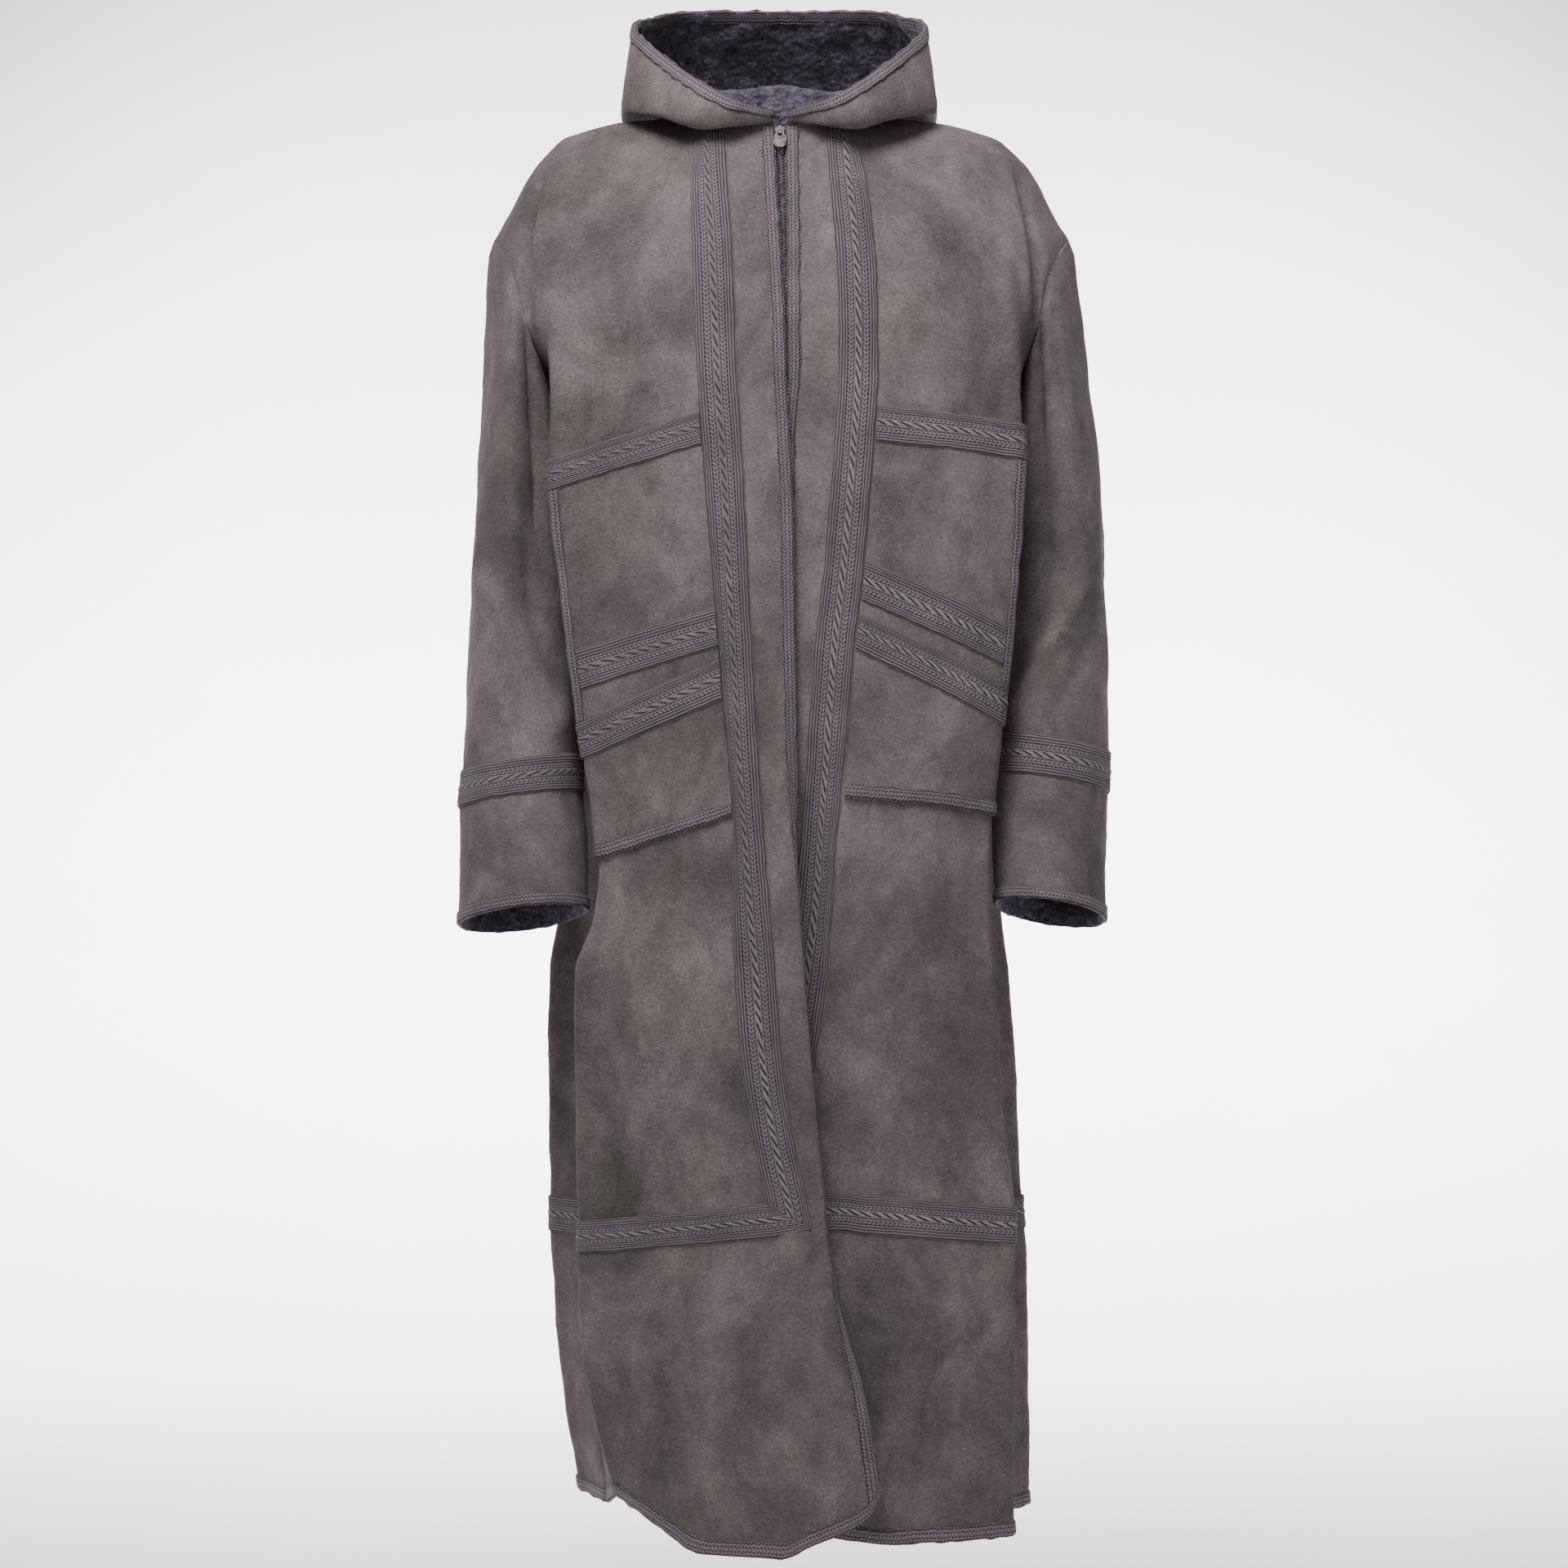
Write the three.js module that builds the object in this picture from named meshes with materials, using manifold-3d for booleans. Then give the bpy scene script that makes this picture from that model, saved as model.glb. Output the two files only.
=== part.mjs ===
// Hooded winter abaya in the shape it takes when worn, zipped from the neck to above the knee, hood down.
// Panels of suede bonded to fur, knitted braid trims and two patch pockets.
// Millimetres. +Z up, the front faces -Y, and the wearer's right is -X.
// The origin is the middle of the neck opening, level with the shoulders.
import * as THREE from 'three';
import Module from 'manifold-3d';

// ---- driving sizes ----
const CLOTH = 3; // wall of a panel: suede bonded to short fur
const SEAM_GAP = 0.3; // space between two pieces at a seam, and between layers
const BRAID_THICKNESS = 2;
const POCKET_THICKNESS = 2.5;
const WIDE_BRAID = 38;
const NARROW_BRAID = 12;
const POCKET_STEP = 0.5; // from the wide braid's outer border to the pocket
const CORNER_RISE = 24; // of the front edge over its braid's inner border where the hem rounds up to it
const ZIP_HALF_WIDTH = 2.5;
const ZIP_DEPTH = 2.4;
const TAPE_THICKNESS = 0.8;
const TAPE_WIDTH = 14; // of each half, from the teeth to its seam behind the front
const TAPE_BEHIND = 4.8; // from the front's outer face to the tape's

const COLOURS = { suede: 0x77716f, braid: 0x7a7379, tape: 0x2b262c, metal: 0x8f8d88 };
const ROUGHNESS = { suede: 0.95, braid: 0.9, tape: 0.85, metal: 0.35 };

// ---- the garment's form ----
// Each line runs down a panel. Columns: height z, then x and y there. `turn` is how far, in degrees, the
// braided front edge is turned under.
const RIGHT_FRONT = {
  edge: { columns: ['z', 'x', 'y', 'turn'], rows: [
    [-14, -17.5, -71, 0], [-100, -13, -95, 0], [-211, -7, -118, 0], [-263, -5.5, -123, 0],
    [-363, 0, -126, 0], [-515, 3, -128, 10], [-628, 7, -130, 35], [-727, 15.5, -132, 100],
    [-856, 26.5, -134, 110], [-1031, 43, -138, 110], [-1122, 52, -140, 80],
    [-1213, 70, -142, 15], [-1260, 78, -143, 0], [-1316, 82, -144, 0],
  ] },
  braid: { columns: ['z', 'x', 'y'], rows: [
    [-5, -69, -52], [-60, -68, -84], [-135, -63, -106], [-249, -58.5, -122],
    [-351, -51.5, -127], [-439, -47.5, -130], [-558, -41, -133], [-628, -37, -134],
    [-700, -32, -136], [-818, -22, -138], [-927, -12.5, -141], [-1000, 2, -143],
    [-1052, 12, -144], [-1350, 5, -150],
  ] },
  pocket: { columns: ['z', 'x', 'y'], rows: [
    [12, -92, 0], [-40, -89, -64], [-135, -82.5, -100], [-249, -77.5, -119], [-351, -70, -124],
    [-444, -62, -128], [-558, -53, -131], [-672, -43, -134], [-740, -44, -135.5],
    [-823, -41.5, -136.5], [-927, -32, -140], [-1000, -17.5, -142], [-1052, -7.5, -143],
    [-1130, -15, -145], [-1350, -70, -145.5],
  ] },
  fold: { columns: ['z', 'x', 'y'], rows: [
    [-15, -212, 0], [-60, -212, -46], [-120, -215, -75], [-211, -214, -90], [-363, -211, -98],
    [-553, -190, -103], [-700, -168, -106], [-750, -168, -105], [-795, -189, -102],
    [-1031, -188, -98], [-1180, -184, -92], [-1325, -153, -60],
  ] },
  side: { columns: ['z', 'x', 'y'], rows: [
    [-111, -279, 0], [-140, -259, -44], [-165, -250, -60], [-190, -243, -66], [-215, -235, -60],
    [-238, -227, -38],
    [-255, -218, 0], [-300, -190, 0], [-400, -174, 0], [-550, -164, 0], [-700, -156, 0],
    [-800, -166, 5], [-1000, -176, 5], [-1200, -180, 8], [-1325, -168, 10],
  ] },
};
const LEFT_FRONT = {
  edge: { columns: ['z', 'x', 'y', 'turn'], rows: [
    [-14, 17.5, -71, 0], [-100, 19, -95, 0], [-211, 19.5, -118, 0], [-250, 19.5, -117, 0],
    [-275, 18, -116.5, 0],
    [-300, 15.5, -116, 0], [-363, 14, -118, 0], [-515, 3, -117, 0], [-628, -9, -112, 0],
    [-742, -18, -101, 0], [-856, -29, -99, 0], [-1031, -40, -102, 0], [-1200, -44, -106, 0],
    [-1330, -42, -106, 0],
  ] },
  braid: { columns: ['z', 'x', 'y'], rows: [
    [-5, 60, -52], [-60, 64.5, -84], [-135, 71, -105], [-249, 73, -121], [-363, 65.5, -125],
    [-443, 58.5, -125], [-515, 50.5, -124], [-628, 42.5, -117], [-742, 33, -105],
    [-818, 25, -103], [-970, 7, -106], [-1052, -4, -110], [-1200, -12, -118],
    [-1345, -16, -122],
  ] },
  pocket: { columns: ['z', 'x', 'y'], rows: [
    [12, 92, 0], [-40, 85, -64], [-135, 90.5, -98], [-249, 92.5, -118.5], [-363, 85, -126],
    [-443, 78, -127.5], [-515, 70, -128.5], [-628, 62, -125.5], [-742, 52.5, -116],
    [-818, 44.5, -112], [-970, 27, -113.5], [-1052, 17, -117], [-1130, 28, -119],
    [-1345, 86, -117],
  ] },
  fold: { columns: ['z', 'x', 'y'], rows: [
    [-15, 216, 0], [-60, 214, -46], [-120, 222, -75], [-211, 225, -90], [-363, 224, -98],
    [-553, 210, -103], [-700, 197, -104], [-760, 197, -103], [-860, 204, -102], [-935, 205, -101],
    [-1031, 219, -100], [-1180, 219, -98], [-1340, 219, -90],
  ] },
  side: { columns: ['z', 'x', 'y'], rows: [
    [-111, 281, 0], [-140, 262, -44], [-165, 253, -60], [-190, 248, -66], [-215, 242, -60],
    [-238, 236, -38],
    [-255, 228, 0], [-300, 200, 0], [-400, 184, 0], [-550, 176, 0], [-700, 172, 0],
    [-800, 182, 5], [-1000, 190, 5], [-1200, 200, 8], [-1340, 200, 10],
  ] },
};
const BACK = {
  middle: { columns: ['z', 'x', 'y'], rows: [
    [22, 0, 62], [-40, 0, 88], [-100, 0, 102], [-200, 0, 112], [-400, 0, 116], [-700, 0, 120],
    [-1000, 0, 130], [-1350, 0, 145],
  ] },
  rightBlade: { columns: ['z', 'x', 'y'], rows: [
    [12, -92, 0], [-20, -94, 45], [-60, -100, 72], [-135, -110, 98], [-249, -112, 112], [-500, -110, 115],
    [-820, -115, 122], [-1100, -115, 132], [-1345, -105, 142],
  ] },
  leftBlade: { columns: ['z', 'x', 'y'], rows: [
    [12, 92, 0], [-20, 94, 45], [-60, 100, 72], [-135, 110, 98], [-249, 112, 112], [-500, 112, 113],
    [-820, 118, 124], [-1100, 120, 134], [-1345, 122, 140],
  ] },
  rightFold: { columns: ['z', 'x', 'y'], rows: [
    [-15, -212, 0], [-60, -212, 45], [-120, -218, 72], [-211, -216, 88], [-363, -212, 85],
    [-500, -205, 75], [-650, -205, 70], [-760, -215, 62], [-820, -226, 55], [-1031, -224, 60],
    [-1122, -223, 65], [-1260, -212, 75], [-1340, -198, 85],
  ] },
  leftFold: { columns: ['z', 'x', 'y'], rows: [
    [-15, 216, 0], [-60, 214, 45], [-120, 222, 72], [-211, 220, 88], [-363, 216, 85], [-500, 210, 75],
    [-650, 210, 70], [-760, 218, 62], [-820, 224, 55], [-1031, 238, 60], [-1122, 244, 65],
    [-1260, 246, 70], [-1345, 248, 80],
  ] },
};

// Level lines across the panels, top to bottom: the height of each at the front edge, the wide braid, the
// pocket's inner border, the front fold, the side seam and the middle of the back.
const LEVELS = ['name', 'edge', 'braid', 'pocket', 'fold', 'side', 'back'];
const RIGHT_LEVELS = [
  ['neck', -14, -5, 12, -15, -111, 22],
  ['collarbone', -48, -42, -28, -60, -140, -20],
  ['yoke', -85, -82, -75, -105, -165, -60],
  ['chest', -125, -125, -122, -145, -190, -100],
  ['armhole', -165, -168, -168, -185, -215, -150],
  ['lowArmhole', -205, -212, -215, -225, -238, -200],
  ['underarm', -245, -252, -256, -265, -255, -255],
  ['bandTop', -276, -287, -290, -332, -325, -310],
  ['bandBottom', -305, -318, -321, -362, -360, -345],
  ['pocketUpper', -370, -385, -390, -425, -425, -410],
  ['slantTop', -455, -469, -473, -513, -510, -495],
  ['slantBottom', -490, -503, -508, -551, -550, -530],
  ['lowSlantTop', -502, -515, -520, -579, -578, -550],
  ['lowSlantBottom', -540, -553, -558, -613, -615, -590],
  ['pocketLower', -598, -610, -615, -655, -658, -635],
  ['hemBandTop', -643, -649, -653, -693, -698, -683],
  ['hemBandBottom', -655, -661, -665, -706, -711, -696],
  ['thigh', -740, -745, -748, -765, -768, -760],
  ['lap', -800, -803, -805, -810, -812, -815],
  ['knee', -890, -893, -894, -895, -895, -895],
  ['calf', -965, -967, -968, -970, -970, -970],
  ['skirtBandTop', -1015, -1022, -1024, -1045, -1040, -1040],
  ['skirtBandBottom', -1046, -1052, -1055, -1075, -1075, -1077],
  ['shin', -1120, -1130, -1132, -1140, -1145, -1145],
  ['ankle', -1200, -1220, -1224, -1222, -1230, -1235],
  ['hemTop', -1302, -1336, -1333, -1297, -1319, -1334],
  ['hem', -1316, -1350, -1347, -1311, -1333, -1348],
];
const LEFT_LEVELS = [
  ['neck', -14, -5, 12, -15, -111, 22],
  ['collarbone', -48, -42, -28, -60, -140, -20],
  ['yoke', -85, -82, -75, -105, -165, -60],
  ['chest', -125, -125, -122, -145, -190, -100],
  ['armhole', -165, -168, -168, -185, -215, -150],
  ['lowArmhole', -205, -212, -215, -225, -238, -200],
  ['underarm', -245, -250, -253, -258, -255, -255],
  ['bandTop', -272, -281, -284, -300, -320, -310],
  ['bandBottom', -305, -315, -318, -334, -355, -345],
  ['pocketUpper', -360, -372, -377, -405, -420, -410],
  ['slantTop', -412, -424, -428, -490, -500, -495],
  ['slantBottom', -450, -462, -466, -528, -535, -530],
  ['lowSlantTop', -462, -473, -478, -543, -550, -550],
  ['lowSlantBottom', -497, -508, -512, -581, -590, -590],
  ['pocketLower', -570, -580, -583, -615, -635, -635],
  ['hemBandTop', -621, -633, -635, -653, -693, -683],
  ['hemBandBottom', -634, -646, -648, -666, -704, -696],
  ['thigh', -730, -735, -738, -748, -765, -760],
  ['lap', -800, -802, -804, -808, -810, -815],
  ['knee', -890, -892, -893, -895, -895, -895],
  ['calf', -965, -966, -967, -968, -970, -970],
  ['skirtBandTop', -1010, -1012, -1015, -1032, -1040, -1040],
  ['skirtBandBottom', -1045, -1047, -1050, -1067, -1073, -1077],
  ['shin', -1120, -1128, -1130, -1138, -1145, -1145],
  ['ankle', -1200, -1215, -1218, -1225, -1232, -1235],
  ['hemTop', -1304, -1313, -1330, -1328, -1334, -1334],
  ['hem', -1318, -1327, -1344, -1342, -1348, -1348],
];

// Rings of a sleeve below its blend from the armhole. `inner` and `front` are how much higher the ring is
// on the body's side and at the front than at its middle.
const SLEEVE_RINGS = ['z', 'x', 'y', 'halfX', 'halfY', 'inner', 'front'];
const RIGHT_SLEEVE = [
  [-330, -245, 0, 46, 72, 0, 0],
  [-395, -246, 0, 49, 73, 2, 0],
  [-455, -247, -2, 52, 74, 4, 0],
  [-500, -246, -6, 55, 74, 6, 0],
  [-555, -246, -14, 55, 73, 7, 2],
  [-616, -247, -27, 56, 72, 8, 4],
  [-652, -247, -34, 58, 71, 8, 6],
  [-700, -244, -44, 60, 71, 8, 9],
  [-752, -244, -52.5, 61, 72, 8, 13],
  [-764, -244, -54, 61, 72, 8, 14],
];
const LEFT_SLEEVE = [
  [-330, 260, 0, 48, 72, 0, 0],
  [-395, 262, 0, 50, 73, 2, 0],
  [-455, 262, -2, 51, 74, 4, 0],
  [-500, 262, -6, 52, 74, 6, 0],
  [-545, 261, -14, 53, 73, 7, 2],
  [-596, 261, -26, 53, 72, 9, 4],
  [-636, 260, -34, 53, 71, 9, 6],
  [-690, 259, -44, 53, 70, 9, 9],
  [-746, 258, -52.5, 53, 70, 9, 13],
  [-758, 258, -54, 53, 70, 9, 14],
];
const SLEEVE_BRAID_RINGS = [5, 6];
const ARMHOLE_BLEND = [0.3, 0.65]; // rings between the armhole and the first ring above

// Sections of the worn hood from the front point of the neck round to its back. `at` counts the columns of
// the neckline. Each point has x, y and z: the stand round the neck, the crest where the hood falls over,
// the bottom of its pouch, the pouch's outer side, the standing wall and the face edge.
const HOOD_POINTS = ['stand', 'crest', 'bottom', 'outer', 'wall', 'rim'];
const HOOD_SECTIONS = [
  { at: 0, stand: [-6, -73, -12], crest: [-6.5, -74.5, -11], bottom: [-7, -76, -10],
    outer: [-7.5, -78, -9], wall: [-8.5, -80.5, -7.5], rim: [-9.5, -84, -3] },
  { at: 3, stand: [-66, -57, 3], crest: [-71, -66, 6], bottom: [-77, -76, -16],
    outer: [-80, -85, -12], wall: [-77, -88, 4], rim: [-66, -84, 20] },
  { at: 5, stand: [-96, -2, 34], crest: [-105, -3, 50], bottom: [-141, -8, 13],
    outer: [-152, -8, 14], wall: [-150, -6, 45], rim: [-141, -2, 93] },
  { at: 6, stand: [-84, 36, 37], crest: [-97, 48, 46], bottom: [-134, 86, -16],
    outer: [-143, 94, 6], wall: [-141, 80, 58], rim: [-123, 46, 116] },
  { at: 7, stand: [-50, 60, 34], crest: [-58, 72, 35], bottom: [-98, 142, -78],
    outer: [-108, 170, -30], wall: [-108, 140, 58], rim: [-91, 82, 130] },
  { at: 8, stand: [0, 69, 37], crest: [0, 81, 36], bottom: [0, 146, -172],
    outer: [0, 194, -120], wall: [0, 172, 36], rim: [0, 98, 134] },
];
const HOOD_ROWS = 8;

// The closed zip's middle line.
const ZIP_LINE = { columns: ['z', 'x', 'y'], rows: [
  [-27, 0, -71.4], [-100, 3, -90.6], [-160, 4, -103], [-211, 4.8, -112.6], [-260, 8, -111.6],
  [-300, 8.5, -111], [-363, 7, -113], [-515, -6, -112], [-628, -20, -107], [-645, -22, -105.6],
] };
const SLIDER = { x: 0, y: -74.8, z: -21, width: 9, height: 11, depth: 5, lean: 15 };
// The slider's outline from its narrow end, as shares of its width and height.
const SLIDER_OUTLINE = [[-0.36, -0.5], [0.36, -0.5], [0.5, 0.3], [0.4, 0.5], [0, 0.38], [-0.4, 0.5],
  [-0.5, 0.3]];
const ROOT = 1; // of the bridge, set into the slider's plate
const BRIDGE = { width: 3, reach: 4.4, gap: 2.8, height: 8, bar: 1.4 };
const PULL = { width: 12, length: 11, thickness: 1.6, window: 4.4, bar: 1.8, corner: 3, web: 0.6 };

// ---- reading the tables ----
const named = (columns, row) => Object.fromEntries(columns.map((name, k) => [name, row[k]]));

// A smooth curve through a table's rows, read at position `at` of its first column.
function readCurve(keys, values, at) {
  const last = keys.length - 1;
  const down = keys[last] < keys[0] ? -1 : 1;
  const t = down * Math.min(Math.max(down * at, down * keys[0]), down * keys[last]);
  let k = 0;
  while (k < last - 1 && down * t > down * keys[k + 1]) k += 1;
  const slope = (i) => {
    const a = Math.max(i - 1, 0);
    const b = Math.min(i + 1, last);
    return (values[b] - values[a]) / (keys[b] - keys[a]);
  };
  const step = keys[k + 1] - keys[k];
  const s = (t - keys[k]) / step;
  const [s2, s3] = [s * s, s * s * s];
  return (2 * s3 - 3 * s2 + 1) * values[k] + (s3 - 2 * s2 + s) * step * slope(k)
    + (3 * s2 - 2 * s3) * values[k + 1] + (s3 - s2) * step * slope(k + 1);
}

function pointOnLine(line, z) {
  const keys = line.rows.map((row) => row[0]);
  const read = (column) => readCurve(keys, line.rows.map((row) => row[column]), z);
  return new THREE.Vector3(read(1), read(2), z);
}

function turnOnLine(line, z) {
  const keys = line.rows.map((row) => row[0]);
  return THREE.MathUtils.degToRad(readCurve(keys, line.rows.map((row) => row[3]), z));
}

// A smooth curve through points, read at a position between 0 and the last point's number.
function pointBetween(points, keys, at) {
  const read = (axis) => readCurve(keys, points.map((p) => p[axis]), at);
  return new THREE.Vector3(read('x'), read('y'), read('z'));
}

// ---- nets: rows of points over each panel ----
const TOP_TO_FOLD = 4; // columns from the pocket's inner border to the front fold
const FOLD_TO_SIDE = 3;
const MIDDLE_TO_BLADE = 3;
const EDGE_COLUMN = { edge: 0, narrow: 1, braidIn: 2, braidMiddle: 3, braidOut: 4, pocket: 5 };
const MOUTH_COLUMN = EDGE_COLUMN.pocket + TOP_TO_FOLD - 1; // inner border of the hand opening's braid
const FOLD_COLUMN = EDGE_COLUMN.pocket + TOP_TO_FOLD;
const SIDE_COLUMN = FOLD_COLUMN + FOLD_TO_SIDE;
const row = Object.fromEntries(RIGHT_LEVELS.map((level, k) => [level[0], k]));
const LAST_ROW = RIGHT_LEVELS.length - 1;

// Beside the arm the cloth runs straight from its fold into the side; over the shoulder it is round.
const tuckedIn = (r) => THREE.MathUtils.clamp((r - row.chest) / (row.underarm - row.chest), 0, 1);

const MOST_OF_WAY = 0.9; // limit of a braid's share of the cloth it lies on
const towards = (from, to, length) => from.clone().lerp(to, length / from.distanceTo(to));

function frontRow(panel, level, sign, r) {
  const z = named(LEVELS, level);
  const narrow = pointOnLine(panel.edge, z.edge);
  const turn = turnOnLine(panel.edge, z.edge);
  const braid = pointOnLine(panel.braid, z.braid);
  const pocket = pointOnLine(panel.pocket, z.pocket);
  const fold = pointOnLine(panel.fold, z.fold);
  const side = pointOnLine(panel.side, z.side);
  const edge = narrow.clone().add(new THREE.Vector3(
    -sign * NARROW_BRAID * Math.cos(turn), NARROW_BRAID * Math.sin(turn), r < row.hemTop ? 0 : CORNER_RISE));
  const stations = [narrow, braid, pocket, fold, side];
  const keys = [0, 1, 2, 3, 4];
  const onWay = (a, b, share) => pointBetween(stations, keys, a + (b - a) * share);
  const half = 0.5 * WIDE_BRAID;
  const braidIn = towards(braid, narrow, Math.min(half, MOST_OF_WAY * braid.distanceTo(narrow)));
  const braidOut = towards(braid, pocket, Math.min(half, braid.distanceTo(pocket) - POCKET_STEP));
  const points = [edge, narrow, braidIn, braid, braidOut, pocket];
  const mouthShare = 1 - NARROW_BRAID / pocket.distanceTo(fold);
  for (let k = 1; k < TOP_TO_FOLD - 1; k += 1) points.push(onWay(2, 3, mouthShare * k / (TOP_TO_FOLD - 1)));
  points.push(onWay(2, 3, mouthShare), fold);
  for (let k = 1; k < FOLD_TO_SIDE; k += 1) {
    const share = k / FOLD_TO_SIDE;
    points.push(onWay(3, 4, share).lerp(fold.clone().lerp(side, share), tuckedIn(r)));
  }
  points.push(side);
  return points;
}

// How far down each back line is read, as a share of the way from the middle's level to the side's.
const ABOVE_UNDERARM = { blade: 0.15, fold: 0.5 };
const BELOW_UNDERARM = { blade: 0.45, fold: 0.9 };

function backHalfRow(bladeLine, foldLine, frontLevel, frontPoints, r) {
  const z = named(LEVELS, frontLevel);
  if (r === 0) {
    const middle = pointOnLine(BACK.middle, z.back);
    const blade = frontPoints[EDGE_COLUMN.pocket];
    const out = [middle];
    for (let k = 1; k < MIDDLE_TO_BLADE; k += 1) {
      const angle = (Math.PI / 2) * (k / MIDDLE_TO_BLADE);
      out.push(new THREE.Vector3(blade.x * Math.sin(angle), middle.y * Math.cos(angle),
        middle.z + (blade.z - middle.z) * (k / MIDDLE_TO_BLADE)));
    }
    return [...out, ...frontPoints.slice(EDGE_COLUMN.pocket)];
  }
  const side = frontPoints[SIDE_COLUMN].clone();
  if (r < row.underarm) side.y = -side.y;
  const backZ = (share) => z.back + (z.side - z.back) * share;
  const middle = pointOnLine(BACK.middle, backZ(0));
  const share = r < row.underarm ? ABOVE_UNDERARM : BELOW_UNDERARM;
  const blade = pointOnLine(bladeLine, backZ(share.blade));
  const fold = pointOnLine(foldLine, backZ(share.fold));
  const mirrored = new THREE.Vector3(-blade.x, blade.y, blade.z);
  const stations = [mirrored, middle, blade, fold, side];
  const keys = [-1, 0, 1, 2, 3];
  const out = [];
  const spread = (from, count) => {
    for (let k = 0; k < count; k += 1) out.push(pointBetween(stations, keys, from + k / count));
  };
  spread(0, MIDDLE_TO_BLADE);
  spread(1, TOP_TO_FOLD);
  for (let k = 0; k < FOLD_TO_SIDE; k += 1) {
    const way = k / FOLD_TO_SIDE;
    out.push(pointBetween(stations, keys, 2 + way).lerp(fold.clone().lerp(side, way), tuckedIn(r)));
  }
  return [...out, side];
}

const rightRows = RIGHT_LEVELS.map((level, r) => frontRow(RIGHT_FRONT, level, -1, r));
const leftRows = LEFT_LEVELS.map((level, r) => frontRow(LEFT_FRONT, level, 1, r));
const backRows = RIGHT_LEVELS.map((level, r) => {
  const right = backHalfRow(BACK.rightBlade, BACK.rightFold, level, rightRows[r], r);
  const left = backHalfRow(BACK.leftBlade, BACK.leftFold, LEFT_LEVELS[r], leftRows[r], r);
  return [...right.reverse(), ...left.slice(1)];
});
const BACK_MIDDLE = MIDDLE_TO_BLADE + TOP_TO_FOLD + FOLD_TO_SIDE;

// The sleeve starts on the armhole's loop: down the front from the shoulder, and up the back.
function sleeveRows(frontPoints, backColumn, table, sign) {
  const loop = [];
  for (let r = 0; r < row.underarm; r += 1) loop.push(frontPoints[r][SIDE_COLUMN]);
  for (let r = row.underarm; r > 0; r -= 1) loop.push(backRows[r][backColumn]);
  const rings = table.map((entry) => {
    const ring = named(SLEEVE_RINGS, entry);
    return loop.map((_, k) => {
      const angle = (2 * Math.PI * k) / loop.length; // from the outer side, over the front
      const [outward, forward] = [Math.cos(angle), Math.sin(angle)];
      return new THREE.Vector3(ring.x + sign * ring.halfX * outward, ring.y - ring.halfY * forward,
        ring.z - ring.inner * outward + ring.front * forward);
    });
  });
  const blend = ARMHOLE_BLEND.map((share) => loop.map((p, k) => p.clone().lerp(rings[0][k], share)));
  return [loop, ...blend, ...rings].map((ring) => [...ring, ring[0]]);
}
const rightSleeve = sleeveRows(rightRows, 0, RIGHT_SLEEVE, -1);
const leftSleeve = sleeveRows(leftRows, backRows[0].length - 1, LEFT_SLEEVE, 1);

// The hood's seam follows the neckline; its sections follow the table, mirrored for the left panel.
function hoodRows(frontTop, backTop, sign) {
  const seam = [...frontTop.slice(0, EDGE_COLUMN.pocket), ...backTop];
  const section = (column) => {
    const keys = HOOD_SECTIONS.map((entry) => entry.at);
    return HOOD_POINTS.map((name) => pointBetween(HOOD_SECTIONS.map((entry) => {
      const [x, y, z] = entry[name];
      return { x: -sign * x, y, z };
    }), keys, column));
  };
  const columns = seam.map((start, column) => {
    const points = [start, ...section(column)];
    const keys = points.map((_, k) => k);
    const last = keys.length - 1;
    const braidTop = last - Math.min(NARROW_BRAID / points[last].distanceTo(points[last - 1]), MOST_OF_WAY);
    const at = (k) => (k < HOOD_ROWS ? (braidTop * k) / (HOOD_ROWS - 1) : last);
    return Array.from({ length: HOOD_ROWS + 1 }, (_, k) => pointBetween(points, keys, at(k)));
  });
  return Array.from({ length: HOOD_ROWS + 1 }, (_, k) => columns.map((column) => column[k]));
}
const rightNeck = backRows[0].slice(TOP_TO_FOLD + FOLD_TO_SIDE, BACK_MIDDLE + 1);
const leftNeck = backRows[0].slice(BACK_MIDDLE, BACK_MIDDLE + MIDDLE_TO_BLADE + 1).reverse();
const rightHood = hoodRows(rightRows[0], rightNeck, -1);
const leftHood = hoodRows(leftRows[0], leftNeck, 1);

// ---- cloth walls ----
// A patch is a stretch of a net: shared points with their outward normals, and triangles over them.
const KEY_STEPS = 1000; // to the millimetre: nearer points are one
const pointKey = (p) => [p.x, p.y, p.z].map((v) => Math.round(v * KEY_STEPS)).join();

// `flip` says which way round the net's columns run, so that every triangle faces out of the garment.
const netTriangles = (rows, flip, [r0, r1] = [0, rows.length - 1], [c0, c1] = [0, rows[0].length - 1]) => {
  const out = [];
  for (let r = r0; r < r1; r += 1) {
    for (let c = c0; c < c1; c += 1) {
      const [a, b, d, e] = [rows[r][c], rows[r][c + 1], rows[r + 1][c + 1], rows[r + 1][c]];
      const pair = a.distanceTo(d) <= b.distanceTo(e) ? [[a, e, d], [a, d, b]] : [[a, e, b], [b, e, d]];
      for (const t of pair) out.push(flip ? [t[0], t[2], t[1]] : t);
    }
  }
  return out;
};

const NETS = {
  frontRight: { rows: rightRows, flip: true },
  frontLeft: { rows: leftRows, flip: false },
  back: { rows: backRows, flip: true },
  sleeveRight: { rows: rightSleeve, flip: false },
  sleeveLeft: { rows: leftSleeve, flip: true },
  hoodRight: { rows: rightHood, flip: false },
  hoodLeft: { rows: leftHood, flip: true },
};

const normals = new Map();
for (const net of Object.values(NETS)) {
  for (const [a, b, c] of netTriangles(net.rows, net.flip)) {
    const cross = b.clone().sub(a).cross(c.clone().sub(a));
    for (const p of [a, b, c]) {
      const key = pointKey(p);
      normals.set(key, (normals.get(key) ?? new THREE.Vector3()).add(cross));
    }
  }
}
for (const normal of normals.values()) normal.normalize();

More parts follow.
